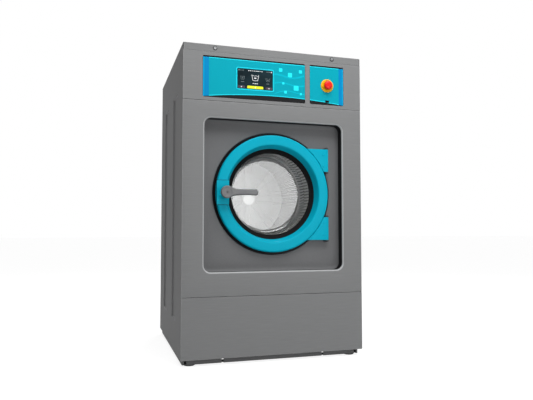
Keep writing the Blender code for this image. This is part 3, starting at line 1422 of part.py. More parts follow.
def glass_line():
    """The inner face of the bowl, from the mouth to the middle of its floor."""
    floor_edge = GLASS_SHOULDER_RADIUS - GLASS_FILLET
    fillet_depth = GLASS_SHOULDER_DEPTH + GLASS_FILLET
    bend = math.radians(45)
    return [
        (GLASS_MOUTH_RADIUS, GLASS_MOUTH_DEPTH),
        (GLASS_SHOULDER_RADIUS, GLASS_SHOULDER_DEPTH),
        (floor_edge + GLASS_FILLET * math.cos(bend), GLASS_SHOULDER_DEPTH + GLASS_FILLET * math.sin(bend)),
        (floor_edge, fillet_depth),
        (floor_edge / 2, (fillet_depth + GLASS_FLOOR_DEPTH * 3) / 4),
        (0, GLASS_FLOOR_DEPTH),
    ]


def door_glass():
    inner = glass_line()
    wall = GLASS_THICKNESS
    outer = []
    for i, (radius, depth) in enumerate(inner[1:-1], 1):
        run = inner[i + 1][0] - inner[i - 1][0]
        rise = inner[i + 1][1] - inner[i - 1][1]
        size = math.hypot(run, rise)
        outer.append((radius + wall * rise / size, depth - wall * run / size))
    profile = [
        *inner[::-1],
        (GLASS_EDGE_RADIUS, GLASS_MOUTH_DEPTH),
        (GLASS_EDGE_RADIUS, GLASS_MOUTH_DEPTH + wall),
        (GLASS_MOUTH_RADIUS + wall, GLASS_MOUTH_DEPTH + wall),
        *outer,
        (0, GLASS_FLOOR_DEPTH + wall),
    ]
    mesh = turned(profile, ROUND_STEPS, closed=False)
    return on_door_axis(finished("door_glass", mesh, "glass", 60.0))


def door_gasket():
    """The rubber profile that grips the glass's flange and shows as the black ring around it."""
    front = RING_THROAT_DEPTH + 2 * SEAT_GAP
    slot_front = GLASS_MOUTH_DEPTH - SEAT_GAP
    slot_back = GLASS_MOUTH_DEPTH + GLASS_THICKNESS + SEAT_GAP
    slot_radius = GLASS_EDGE_RADIUS + SEAT_GAP
    back_lip = GLASS_MOUTH_RADIUS + GLASS_THICKNESS + SEAT_GAP
    mesh = turned(
        [
            (GASKET_OUTER_RADIUS, front),
            (GASKET_OUTER_RADIUS, slot_back + GASKET_LIP),
            (back_lip, slot_back + GASKET_LIP),
            (back_lip, slot_back),
            (slot_radius, slot_back),
            (slot_radius, slot_front),
            (GLASS_MOUTH_RADIUS, slot_front),
            (GLASS_MOUTH_RADIUS, slot_front - GASKET_LIP / 2),
        ],
        ROUND_STEPS,
    )
    return on_door_axis(finished("door_gasket", mesh, "black_rubber"))


# Handle and lock
def handle_plate():
    """The boss over the ring, shaped to the ring's face and to its coned throat."""
    width = HANDLE_PLATE_RIGHT - HANDLE_PLATE_LEFT
    outline = rounded_rectangle(width / 2, HANDLE_PLATE_HEIGHT / 2, HANDLE_PLATE_CORNER, SHARP_CORNER_STEPS)
    front = RING_FACE_DEPTH - SEAT_GAP - HANDLE_PLATE_PROUD
    mesh = extruded(outline, front, HANDLE_PLATE_DEPTH)
    mesh = moved(mesh, (HANDLE_PLATE_LEFT + HANDLE_PLATE_RIGHT) / 2)
    slope = (RING_FACE_RADIUS - RING_THROAT_RADIUS) / (RING_THROAT_DEPTH - RING_FACE_DEPTH)
    spread = math.hypot(1, slope) * 2 * SEAT_GAP
    envelope = turned(
        [
            (RING_OUTER_RADIUS + OVERRUN, RING_FACE_DEPTH - SEAT_GAP),
            (RING_FACE_RADIUS - spread, RING_FACE_DEPTH - SEAT_GAP),
            (RING_THROAT_RADIUS - spread, RING_THROAT_DEPTH),
            (RING_OUTER_RADIUS + OVERRUN, RING_THROAT_DEPTH),
        ],
        ROUND_STEPS,
    )
    mesh = cut(mesh, envelope, shaft_hole())
    return on_door_axis(finished("handle_plate", mesh, "turquoise"))


def handle_lever():
    """Hub, spindle and lever in one casting; the lever waists, swells and bends out along its length."""
    face = HUB_FACE_DEPTH
    back = face + HUB_THICKNESS
    edge = HUB_THICKNESS / 6
    hub = turned(
        [
            (0, face),
            (HUB_RADIUS - edge, face),
            (HUB_RADIUS, face + edge),
            (HUB_RADIUS, back),
            (HUB_NECK_RADIUS, back),
            (HUB_NECK_RADIUS, back + HUB_NECK_LENGTH),
            (HANDLE_SHAFT_RADIUS, back + HUB_NECK_LENGTH),
            (HANDLE_SHAFT_RADIUS, HANDLE_SHAFT_END_DEPTH),
            (0, HANDLE_SHAFT_END_DEPTH),
        ],
        BUTTON_STEPS,
        closed=False,
    )
    widths = {"neck": LEVER_NECK_WIDTH, "belly": LEVER_BELLY_WIDTH, "tip": LEVER_TIP_WIDTH}
    middle = (face + back) / 2
    sections = []
    for reach_share, width, bend_share in LEVER_SHARES:
        outline = rounded_rectangle(
            widths[width] / 2, LEVER_THICKNESS / 2, LEVER_THICKNESS / 3, SHARP_CORNER_STEPS
        )
        offset = middle - LEVER_BEND * bend_share
        sections.append(([(u, v + offset) for u, v in outline], LEVER_REACH * reach_share))
    lever = lofted(sections)
    lever.transform(Matrix(((0, 0, 1, 0), (1, 0, 0, 0), (0, 1, 0, 0), (0, 0, 0, 1))))
    thing = finished("handle_lever", joined(hub, lever), "handle_grey")
    thing.location = (HANDLE_X, at_depth(0), DOOR_Z)
    thing.rotation_euler = (-math.pi / 2, 0, 0)
    return thing


def latch_tongue():
    """The steel tongue on the back of the door frame, drilled for the lock's bolt."""
    foot = DOOR_FRAME_BACK_DEPTH + SEAT_GAP
    half = TONGUE_HEIGHT / 2
    outline = [
        (0, foot),
        (TONGUE_THICKNESS, foot),
        (TONGUE_THICKNESS, TONGUE_END_DEPTH - TONGUE_THICKNESS),
        (TONGUE_THICKNESS / 2, TONGUE_END_DEPTH),
        (0, TONGUE_END_DEPTH - TONGUE_THICKNESS / 2),
    ]
    mesh = extruded([(x - TONGUE_THICKNESS / 2, y) for x, y in outline], -half, half)
    hole = rod(TONGUE_HOLE_RADIUS, -OVERRUN, OVERRUN, SMALL_STEPS)
    hole = moved(hole, y=TONGUE_HOLE_DEPTH, turn=math.pi / 2, axis="Y")
    mesh = moved(cut(mesh, hole), TONGUE_X, at_depth(0), DOOR_Z)
    return finished("latch_tongue", mesh, "bright_steel")


def door_lock():
    """The lock, shaped to the back of the port collar: a slot for the tongue and a bore for the bolt."""
    flange_back = SURROUND_DEPTH + SKIN + COLLAR_THICKNESS + 2 * SEAT_GAP
    cone_start = PORT_RADIUS + 4 * SKIN
    cone_back = COLLAR_DEPTH + COLLAR_THICKNESS + SEAT_GAP
    outer = HALF_WIDTH
    half = LOCK_HEIGHT / 2
    mesh = block(
        (LOCK_LEFT, at_depth(SURROUND_DEPTH), DOOR_Z - half),
        (LOCK_RIGHT, at_depth(LOCK_BACK_DEPTH), DOOR_Z + half),
    )
    collar = turned(
        [
            (COLLAR_INNER_RADIUS, 0),
            (outer, 0),
            (outer, flange_back),
            (PORT_RADIUS + COLLAR_FLANGE, flange_back),
            (cone_start, cone_back),
            (COLLAR_INNER_RADIUS, cone_back + COLLAR_FALL),
        ],
        ROUND_STEPS,
    )
    reach = LOCK_BOLT_TRAVEL / 2
    slot_half = TONGUE_HEIGHT / 2 + TONGUE_CLEARANCE
    slot = block(
        (TONGUE_X - reach, at_depth(SURROUND_DEPTH) - OVERRUN, DOOR_Z - slot_half),
        (TONGUE_X + reach, at_depth(TONGUE_END_DEPTH + TONGUE_CLEARANCE), DOOR_Z + slot_half),
    )
    radius = LOCK_BOLT_RADIUS + LOCK_BOLT_CLEARANCE
    bore = rod(radius, -OVERRUN, TONGUE_X - LOCK_LEFT, SMALL_STEPS)
    bore = moved(bore, LOCK_LEFT, at_depth(TONGUE_HOLE_DEPTH), DOOR_Z, math.pi / 2, "Y")
    return finished("door_lock", cut(mesh, facing_front(collar, z=DOOR_Z), slot, bore), "black_plastic")


def lock_bolt():
    tip = TONGUE_X - LOCK_BOLT_TRAVEL / 2 - SEAT_GAP
    mesh = rod(LOCK_BOLT_RADIUS, -LOCK_BOLT_LENGTH, 0, SMALL_STEPS)
    thing = finished("lock_bolt", mesh, "bright_steel")
    thing.location = (tip, at_depth(TONGUE_HOLE_DEPTH), DOOR_Z)
    thing.rotation_euler = (0, math.pi / 2, 0)
    return thing


# Hinge
def hinge_height(side):
    return DOOR_Z + side * HINGE_BLOCK_OFFSET_Z


def hinge_tab(back_depth, left_x):
    """The plan of a knuckle: flat behind, round about the pin, in (x, y)."""
    radius = HINGE_BLOCK_THICKNESS / 2
    y = at_depth(HINGE_AXIS_DEPTH)
    steps = SMALL_STEPS // 2
    points = []
    for step in range(steps + 1):
        angle = math.pi * (step / steps) - math.pi / 2
        points.append((HINGE_AXIS_X + radius * math.cos(angle), y + radius * math.sin(angle)))
    return points + [(left_x, at_depth(back_depth)), (left_x, at_depth(HINGE_BLOCK_FACE_DEPTH))]


def pin_bore():
    """A hole for the hinge pin, from the floor up past both hinges."""
    mesh = rod(HINGE_PIN_RADIUS + SEAT_GAP, 0, CABINET_HEIGHT, SMALL_STEPS)
    return moved(mesh, HINGE_AXIS_X, at_depth(HINGE_AXIS_DEPTH))


def hinge_block(name, side):
    """The turquoise arm, cut to the ring's rim and bored for the pin."""
    half = HINGE_BLOCK_HEIGHT / 2
    back = HINGE_BLOCK_FACE_DEPTH + HINGE_BLOCK_THICKNESS
    mesh = extruded(hinge_tab(back, RING_FACE_RADIUS * math.cos(math.radians(45))), -half, half)
    mesh = moved(mesh, z=hinge_height(side))
    ring = rod(RING_OUTER_RADIUS + SEAT_GAP * 2, -OVERRUN, SURROUND_DEPTH, ROUND_STEPS)
    mesh = cut(mesh, facing_front(ring, z=DOOR_Z), pin_bore())
    return finished(name, mesh, "turquoise")


def hinge_bracket(name, side):
    """A steel bracket on the surround: an ear above and below the block, and a headed pin through both."""
    seat = SURROUND_DEPTH - SEAT_GAP
    ear_reach = HINGE_BLOCK_HEIGHT / 2 + HINGE_EAR_CLEARANCE
    right = HINGE_AXIS_X + HINGE_BLOCK_THICKNESS / 2
    plate = block(
        (HINGE_PLATE_LEFT, at_depth(seat - HINGE_PLATE_THICKNESS), -ear_reach - HINGE_EAR_THICKNESS),
        (right, at_depth(seat), ear_reach + HINGE_EAR_THICKNESS),
    )
    additions = [hinge_pin(ear_reach + HINGE_EAR_THICKNESS)]
    for end in (-1, 1):
        near, far = sorted((end * ear_reach, end * (ear_reach + HINGE_EAR_THICKNESS)))
        additions.append(extruded(hinge_tab(seat, HINGE_EAR_LEFT), near, far))
    mesh = moved(joined(plate, *additions), z=hinge_height(side))
    return finished(name, mesh, "dark_paint")


def hinge_pin(reach):
    mesh = turned(
        [
            (0, -reach - HINGE_PIN_HEAD_HEIGHT),
            (HINGE_PIN_HEAD_RADIUS, -reach - HINGE_PIN_HEAD_HEIGHT),
            (HINGE_PIN_HEAD_RADIUS, HINGE_EAR_THICKNESS / 2 - reach),
            (HINGE_PIN_RADIUS, HINGE_EAR_THICKNESS / 2 - reach),
            (HINGE_PIN_RADIUS, reach - HINGE_EAR_THICKNESS / 2),
            (HINGE_PIN_HEAD_RADIUS, reach - HINGE_EAR_THICKNESS / 2),
            (HINGE_PIN_HEAD_RADIUS, reach + HINGE_PIN_HEAD_HEIGHT),
            (0, reach + HINGE_PIN_HEAD_HEIGHT),
        ],
        SMALL_STEPS,
        closed=False,
    )
    return moved(mesh, HINGE_AXIS_X, at_depth(HINGE_AXIS_DEPTH))


# Tub
def mount_places():
    return [
        (side * MOUNT_X, depth) for side in (-1, 1) for depth in (FRONT_MOUNT_DEPTH, REAR_MOUNT_DEPTH)
    ]


def tub_shell():
    """The outer drum with its suspension brackets and damper rods, and the two lugs that clamp the motor."""
    outer = TUB_RADIUS + TUB_WALL
    barrel = on_axis_mesh(rod(outer, TUB_FRONT_DEPTH, TUB_BACK_DEPTH, INNER_STEPS))
    extras = []
    for x, depth in mount_places():
        y = at_depth(depth)
        pad_top = MOUNT_PAD_Z + MOUNT_PAD_THICKNESS
        half_width = MOUNT_PAD_WIDTH / 2
        half_length = MOUNT_PAD_LENGTH / 2
        pad = block(
            (x - half_width, y - half_length, MOUNT_PAD_Z),
            (x + half_width, y + half_length, pad_top),
        )
        web_half = MOUNT_WEB_THICKNESS / 2
        webs = [
            block(
                (x - half_width, y + offset - web_half, MOUNT_PAD_Z + web_half),
                (x + half_width, y + offset + web_half, DOOR_Z),
            )
            for offset in (-half_length + web_half, half_length - web_half)
        ]
        extras += [pad, *webs]
        extras.append(damper_rod(x, depth))
    for side in (-1, 1):
        near, far = sorted((side * LUG_X, side * (LUG_X + MOTOR_LUG_THICKNESS)))
        start = MOTOR_BACK_DEPTH - MOTOR_LENGTH
        bottom = MOTOR_Z - MOTOR_PAD_HEIGHT / 2
        end = at_depth(TUB_BACK_DEPTH - OVERRUN)
        extras.append(block((near, at_depth(start), bottom), (far, end, DOOR_Z)))
    body = joined(barrel, *extras)
    inside = on_axis_mesh(rod(TUB_RADIUS, TUB_FRONT_DEPTH - OVERRUN, TUB_BACK_DEPTH + OVERRUN, INNER_STEPS))
    body = cut(body, inside, drain_hole())
    return finished("tub_shell", body, "stainless")


def on_axis_mesh(mesh):
    return facing_front(mesh, z=DOOR_Z)


def drain_hole():
    mesh = rod(DRAIN_OUTLET_RADIUS, TUB_BOTTOM_Z - OVERRUN, TUB_BOTTOM_Z + 2 * OVERRUN, SMALL_STEPS)
    return moved(mesh, y=at_depth(DRAIN_DEPTH))


def tub_front():
    """The front plate, rolled out into the neck that the door seal clamps on."""
    neck = TUB_NECK_RADIUS + TUB_WALL / 2
    plate = TUB_FRONT_DEPTH - TUB_WALL / 2 - SEAT_GAP
    bend = TUB_NECK_BEND
    line = [
        (neck, TUB_NECK_DEPTH),
        (neck, plate - bend),
        (neck + bend / 3, plate - bend / 3),
        (neck + bend, plate),
        (TUB_RADIUS + TUB_RIM_HEIGHT, plate),
    ]
    mesh = turned(thickened(line, TUB_WALL), INNER_STEPS)
    return on_door_axis(finished("tub_front", mesh, "stainless"))


def tub_back():
    """The back plate, stiffened by radial ribs, with the shaft's hole at its middle."""
    plate = TUB_BACK_DEPTH + TUB_WALL / 2 + SEAT_GAP
    line = [
        (TUB_HUB_RADIUS - BEARING_BORE_RADIUS / 2, plate),
        (TUB_RADIUS + TUB_RIM_HEIGHT, plate),
    ]
    disc = turned(thickened(line, TUB_WALL), INNER_STEPS)
    ribs = []
    start = BEARING_HOUSING_FLANGE_RADIUS + OVERRUN
    back = plate + TUB_WALL / 4
    for step in range(TUB_RIB_COUNT):
        outline = [
            (start, back),
            (TUB_RADIUS, back),
            (TUB_RADIUS, back + TUB_RIB_HEIGHT / 2),
            (start, back + TUB_RIB_HEIGHT),
        ]
        rib = extruded(outline, -TUB_RIB_WIDTH / 2, TUB_RIB_WIDTH / 2)
        rib = moved(rib, turn=math.pi / 2, axis="X")
        rib.transform(Matrix.Diagonal((1, -1, 1, 1)))
        ribs.append(moved(rib, turn=math.tau * (step + 0.5) / TUB_RIB_COUNT))
    ribs = [outward(rib) for rib in ribs]
    return on_door_axis(finished("tub_back", joined(disc, *ribs), "stainless"))


def outward(mesh):
    bm = bmesh.new()
    bm.from_mesh(mesh)
    bpy.data.meshes.remove(mesh)
    return closed_mesh(bm)


def bearing_housing():
    """The cast housing with its two bearings pressed in, bored between them for the grease."""
    front = TUB_BACK_DEPTH + TUB_WALL + 2 * SEAT_GAP
    back = front + BEARING_HOUSING_LENGTH - PULLEY_CLEARANCE / 2
    bore = SHAFT_RADIUS + BEARING_INNER_CLEARANCE
    step = SHAFT_STEP_RADIUS + BEARING_EDGE
    race = BEARING_WIDTH / 8
    middle = (bore + step) / 2
    front_bearing = front + BEARING_EDGE
    back_bearing = back - BEARING_EDGE - BEARING_WIDTH
    mesh = turned(
        [
            (step, front),
            (BEARING_HOUSING_FLANGE_RADIUS, front),
            (BEARING_HOUSING_FLANGE_RADIUS, front + BEARING_HOUSING_FLANGE),
            (BEARING_HOUSING_RADIUS + BEARING_HOUSING_FLANGE, front + BEARING_HOUSING_FLANGE),
            (BEARING_HOUSING_RADIUS, front + 2 * BEARING_HOUSING_FLANGE),
            (BEARING_HOUSING_RADIUS, back),
            (step, back),
            (step, back - BEARING_EDGE),
            (middle, back - BEARING_EDGE - race),
            (bore, back - BEARING_EDGE),
            (bore, back_bearing),
            (step, back_bearing),
            (step, front_bearing + BEARING_WIDTH),
            (bore, front_bearing + BEARING_WIDTH),
            (bore, front_bearing),
            (middle, front_bearing + race),
            (step, front_bearing),
        ],
        INNER_STEPS,
    )
    return on_door_axis(finished("bearing_housing", mesh, "cast_grey"))


# Drum
def drum_shell():
    """The rolled wrapper with its beaters welded in along the wall."""
    inner = DRUM_RADIUS - DRUM_WALL
    mesh = turned(
        [
            (inner, DRUM_FRONT_DEPTH),
            (DRUM_RADIUS, DRUM_FRONT_DEPTH),
            (DRUM_RADIUS, DRUM_BACK_DEPTH),
            (inner, DRUM_BACK_DEPTH),
        ],
        ROUND_STEPS,
    )
    lifters = [lifter(math.tau * step / LIFTER_COUNT) for step in range(LIFTER_COUNT)]
    return on_door_axis(finished("drum_shell", joined(mesh, *lifters), "stainless"))


def lifter(turn):
    """A folded beater: a crowned prism with tapered ends, trimmed to the middle of the drum's wall."""
    start = DRUM_FRONT_DEPTH + DRUM_FRONT_CONE + DRUM_RIM_WIDTH + LIFTER_END_CLEARANCE
    length = DRUM_BACK_DEPTH - LIFTER_END_CLEARANCE - start
    foot = DRUM_RADIUS * math.cos(math.asin(LIFTER_WIDTH / 2 / DRUM_RADIUS)) - DRUM_WALL
    sections = []
    for place_share, height_share in LIFTER_END_SHARES:
        crest = DRUM_RADIUS - LIFTER_HEIGHT * height_share
        shoulder = DRUM_RADIUS - LIFTER_HEIGHT * height_share * LIFTER_SHOULDER_SHARE
        outline = [
            (-LIFTER_WIDTH / 2, foot),
            (-LIFTER_CROWN / 2, shoulder),
            (0, crest),
            (LIFTER_CROWN / 2, shoulder),
            (LIFTER_WIDTH / 2, foot),
            (LIFTER_WIDTH / 2, DRUM_RADIUS + OVERRUN),
            (-LIFTER_WIDTH / 2, DRUM_RADIUS + OVERRUN),
        ]
        sections.append((outline, start + length * place_share))
    wall_middle = rod(DRUM_RADIUS - DRUM_WALL / 2, DRUM_FRONT_DEPTH, DRUM_BACK_DEPTH, ROUND_STEPS)
    return kept_inside(moved(lofted(sections), turn=turn), wall_middle)


def drum_front():
    rim = DRUM_RADIUS - DRUM_WALL - DRUM_WALL / 2 - 3 * SEAT_GAP
    mouth = DRUM_MOUTH_RADIUS + DRUM_LIP
    face = DRUM_FRONT_DEPTH - DRUM_LIP
    line = [
        (DRUM_MOUTH_RADIUS, face + 2 * DRUM_LIP),
        (DRUM_MOUTH_RADIUS + DRUM_LIP / 3, face + DRUM_LIP / 3),
        (mouth + DRUM_LIP, face),
        (rim - DRUM_RIM_WIDTH / 2, face + DRUM_FRONT_CONE),
        (rim, face + DRUM_FRONT_CONE + DRUM_RIM_WIDTH / 2),
        (rim, face + DRUM_FRONT_CONE + DRUM_RIM_WIDTH),
    ]
    mesh = turned(thickened(line, DRUM_WALL), ROUND_STEPS)
    return on_door_axis(finished("drum_front", mesh, "stainless"))


def drum_back_depth(radius, spoke):
    """How deep the pressed back lies: a shallow cone with raised spokes and a raised ring."""
    rim = DRUM_RADIUS - DRUM_WALL
    share = min(radius / rim, 1.0)
    depth = DRUM_BACK_DEPTH - DRUM_WALL - DRUM_CONE_HEIGHT * (1 - share)
    swell = math.sin(math.pi * share) ** 0.5 if 0 < share < 1 else 0.0
    depth -= DRUM_RIB_HEIGHT * swell * spoke
    ring = max(0.0, 1 - abs(radius - DRUM_RING_RADIUS) / (DRUM_RING_RADIUS / 4))
    return depth - DRUM_RING_HEIGHT * ring


def drum_back():
    """The pressed and coned back of the drum: spokes, a ring and a hub hole, one even sheet."""
    rim = DRUM_RADIUS - DRUM_WALL - SEAT_GAP * 3
    radii = [DRUM_HUB_RADIUS + (rim - DRUM_HUB_RADIUS) * share for share in DRUM_BACK_SHARES]
    spacing = ROUND_STEPS // DRUM_RIB_COUNT
    sections = []
    for wall in (0.0, DRUM_WALL):
        rings = []
        for radius in radii:
            ring = []
            for step, (x, y) in enumerate(circle(radius, ROUND_STEPS)):
                spoke = 1.0 if step % spacing == 0 else 0.0
                ring.append((x, y, drum_back_depth(radius, spoke) + wall))
            rings.append(ring)
        sections += rings if wall == 0.0 else rings[::-1]
    bm = bmesh.new()
    rings = [[bm.verts.new(point) for point in ring] for ring in sections]
    for low, high in zip(rings, rings[1:] + rings[:1]):
        for i in range(ROUND_STEPS):
            j = (i + 1) % ROUND_STEPS
            bm.faces.new((low[i], low[j], high[j], high[i]))
    return on_door_axis(finished("drum_back", closed_mesh(bm), "stainless", 12.0))


def drum_trunnion():
    """The cast spider behind the drum, with the shaft that runs back through the bearings."""
    front = SPIDER_DEPTH
    arm_back = front + SPIDER_ARM_THICKNESS
    shaft_end = PULLEY_DEPTH + PULLEY_WIDTH
    bearing_start = TUB_BACK_DEPTH + TUB_WALL + 2 * SEAT_GAP + BEARING_EDGE
    nose = DRUM_HUB_RADIUS * math.cos(math.pi / ROUND_STEPS) - SEAT_GAP
    hub_edge = SPIDER_HUB_RADIUS - SPIDER_CLEARANCE
    body = turned(
        [
            (0, drum_back_depth(nose, 0)),
            (nose, drum_back_depth(nose, 0)),
            (nose, drum_back_depth(nose, 0) + DRUM_WALL + SPIDER_CLEARANCE),
            (hub_edge, drum_back_depth(hub_edge, 0) + DRUM_WALL + SPIDER_CLEARANCE),
            (SPIDER_HUB_RADIUS, front),
            (SPIDER_HUB_RADIUS, arm_back),
            (SHAFT_STEP_RADIUS, arm_back + SPIDER_CLEARANCE),
            (SHAFT_STEP_RADIUS, bearing_start - SEAT_GAP),
            (SHAFT_RADIUS, bearing_start - SEAT_GAP),
            (SHAFT_RADIUS, shaft_end),
            (0, shaft_end),
        ],
        INNER_STEPS,
        closed=False,
    )
    arms = []
    reach = DRUM_RADIUS - SPIDER_CLEARANCE / 2
    half = SPIDER_ARM_WIDTH / 2
    for step in range(SPIDER_ARM_COUNT):
        outline = [
            (0, -half),
            (reach, -half / 2),
            (reach, half / 2),
            (0, half),
        ]
        arm = extruded(outline, front, arm_back)
        arms.append(moved(arm, turn=math.tau * (step / SPIDER_ARM_COUNT + 0.25)))
    return on_door_axis(finished("drum_trunnion", joined(body, *arms), "cast_aluminium"))


# Drive
def pulley_profile(radius, hub, bore, width, rim, web):
    middle = width / 2
    return [
        (bore, 0),
        (hub, 0),
        (hub, middle - web / 2),
        (radius - rim, middle - web / 2),
        (radius - rim, 0),
        (radius, 0),
        (radius, width),
        (radius - rim, width),
        (radius - rim, middle + web / 2),
        (hub, middle + web / 2),
        (hub, width),
        (bore, width),
    ]


def drum_pulley():
    profile = pulley_profile(
        PULLEY_RADIUS,
        PULLEY_HUB_RADIUS,
        SHAFT_RADIUS + PULLEY_BORE_CLEARANCE,
        PULLEY_WIDTH,
        PULLEY_RIM,
        PULLEY_WEB,
    )
    mesh = moved(turned(profile, INNER_STEPS), z=PULLEY_DEPTH)
    start = PULLEY_DEPTH - OVERRUN
    end = PULLEY_DEPTH + PULLEY_WIDTH + OVERRUN
    holes = []
    for step in range(PULLEY_HOLE_COUNT):
        angle = math.tau * (step + PULLEY_HOLE_SHARE) / PULLEY_HOLE_COUNT
        hole = rod(PULLEY_HOLE_RADIUS, start, end, SMALL_STEPS)
        holes.append(moved(hole, PULLEY_HOLE_CIRCLE * math.cos(angle), PULLEY_HOLE_CIRCLE * math.sin(angle)))
    return on_door_axis(finished("drum_pulley", cut(mesh, *holes), "cast_grey"))


def motor():
    """The finned motor body, with flat pads at its sides where the tub's lugs grip it."""
    start = MOTOR_BACK_DEPTH - MOTOR_LENGTH
    outline = []
    for step in range(2 * MOTOR_FIN_COUNT):
        radius = MOTOR_RADIUS + (MOTOR_FIN_HEIGHT if step % 2 else 0.0)
        for edge in (-MOTOR_FIN_SHARE, MOTOR_FIN_SHARE):
            angle = math.tau * (step + edge) / (2 * MOTOR_FIN_COUNT)
            outline.append((radius * math.cos(angle), radius * math.sin(angle)))
    body = extruded(outline, start, MOTOR_BACK_DEPTH - MOTOR_FIN_HEIGHT)
    face = LUG_X - MOTOR_LUG_CLEARANCE
    half = MOTOR_PAD_HEIGHT / 2
    pads = block((-face, -half, start + OVERRUN), (face, half, MOTOR_BACK_DEPTH - OVERRUN))
    bore = rod(
        MOTOR_SHAFT_RADIUS + MOTOR_BORE_CLEARANCE,
        MOTOR_BACK_DEPTH - MOTOR_BORE_DEPTH,
        MOTOR_BACK_DEPTH + OVERRUN,
        SMALL_STEPS,
    )
    mesh = facing_front(cut(joined(body, pads), bore), z=MOTOR_Z)
    return finished("motor", mesh, "cast_grey")


def motor_pulley():
    """The rotor's shaft end and its belt pulley."""
    start = MOTOR_BACK_DEPTH - MOTOR_BORE_DEPTH + 2 * SEAT_GAP
    mesh = turned(
        [
            (0, start),
            (MOTOR_SHAFT_RADIUS, start),
            (MOTOR_SHAFT_RADIUS, PULLEY_DEPTH),
            (MOTOR_PULLEY_RADIUS, PULLEY_DEPTH),
            (MOTOR_PULLEY_RADIUS, PULLEY_DEPTH + PULLEY_WIDTH),
            (0, PULLEY_DEPTH + PULLEY_WIDTH),
        ],
        SMALL_STEPS,
        closed=False,
    )
    thing = finished("motor_pulley", mesh, "bright_steel")
    thing.location = (0, at_depth(0), MOTOR_Z)
    thing.rotation_euler = (-math.pi / 2, 0, 0)
    return thing


def belt_outline(growth):
    """Two arcs and their common tangents, seen along the shafts, in (x, z) from the drum's axis."""
    large = PULLEY_RADIUS / math.cos(math.pi / 2 / INNER_STEPS) + growth
    small = MOTOR_PULLEY_RADIUS / math.cos(math.pi / SMALL_STEPS) + growth
    apart = DOOR_Z - MOTOR_Z
    lean = math.asin((large - small) / apart)
    points = []
    steps = INNER_STEPS
    sweep = math.pi + 2 * lean
    for step in range(steps + 1):
        angle = -lean + sweep * step / steps
        points.append((large * math.cos(angle), large * math.sin(angle)))
    steps = SMALL_STEPS // 2
    sweep = math.pi - 2 * lean
    for step in range(steps + 1):
        angle = math.pi + lean + sweep * step / steps
        points.append((small * math.cos(angle), small * math.sin(angle) - apart))
    return points


def drive_belt():
    start = PULLEY_DEPTH + (PULLEY_WIDTH - BELT_WIDTH) / 2
    inner = [(x, -z) for x, z in belt_outline(2 * SEAT_GAP)]
    outer = [(x, -z) for x, z in belt_outline(2 * SEAT_GAP + BELT_THICKNESS)]
    end = start + BELT_WIDTH
    mesh = lofted([(inner, start), (outer, start), (outer, end), (inner, end)], closed=True)
    return on_door_axis(finished("drive_belt", mesh, "black_rubber"))


# Suspension
def spring_line(bottom, top):
    """A coil's centre line, with flat end turns."""
    count = SPRING_TURNS * SPRING_POINTS_PER_TURN
    low = bottom + SPRING_WIRE_RADIUS
    high = top - SPRING_WIRE_RADIUS
    points = []
    for step in range(count + 1):
        turn = step / SPRING_POINTS_PER_TURN
        share = min(max((turn - 0.5) / (SPRING_TURNS - 1), 0.0), 1.0)
        angle = math.tau * turn
        z = low + (high - low) * share
        points.append((SPRING_RADIUS * math.cos(angle), SPRING_RADIUS * math.sin(angle), z))
    return points


def suspension_spring(name, side, depth):
    bottom = SEAT_RAIL_TOP_Z + SEAT_GAP
    top = MOUNT_PAD_Z - SEAT_GAP
    mesh = swept(spring_line(bottom, top), SPRING_WIRE_RADIUS, SPRING_WIRE_STEPS)
    mesh = moved(mesh, side * MOUNT_X, at_depth(depth) + SPRING_OFFSET_Y)
    return finished(name, mesh, "spring_steel", 60.0)


def damper_tube(x, depth):
    """A friction damper's tube, welded to the rail, open at its top for the rod."""
    start = SEAT_RAIL_TOP_Z - BASE_WALL / 2
    floor = SEAT_RAIL_TOP_Z + BASE_WALL
    end = SEAT_RAIL_TOP_Z + DAMPER_TUBE_LENGTH
    mesh = turned(
        [
            (0, start),
            (DAMPER_TUBE_RADIUS, start),
            (DAMPER_TUBE_RADIUS, end),
            (DAMPER_BORE_RADIUS, end),
            (DAMPER_BORE_RADIUS, floor),
            (0, floor),
        ],
        SMALL_STEPS,
        closed=False,
    )
    return moved(mesh, x, at_depth(depth) + DAMPER_OFFSET_Y)


def damper_rod(x, depth):
    """The damper's rod, fixed by its head to the tub's bracket."""
    top = MOUNT_PAD_Z + MOUNT_PAD_THICKNESS / 2
    mesh = turned(
        [
            (0, MOUNT_PAD_Z - DAMPER_ROD_REACH),
            (DAMPER_ROD_RADIUS, MOUNT_PAD_Z - DAMPER_ROD_REACH),
            (DAMPER_ROD_RADIUS, MOUNT_PAD_Z - DAMPER_ROD_RADIUS),
            (DAMPER_TUBE_RADIUS, MOUNT_PAD_Z - DAMPER_ROD_RADIUS),
            (DAMPER_TUBE_RADIUS, top),
            (0, top),
        ],
        SMALL_STEPS,
        closed=False,
    )
    return moved(mesh, x, at_depth(depth) + DAMPER_OFFSET_Y)


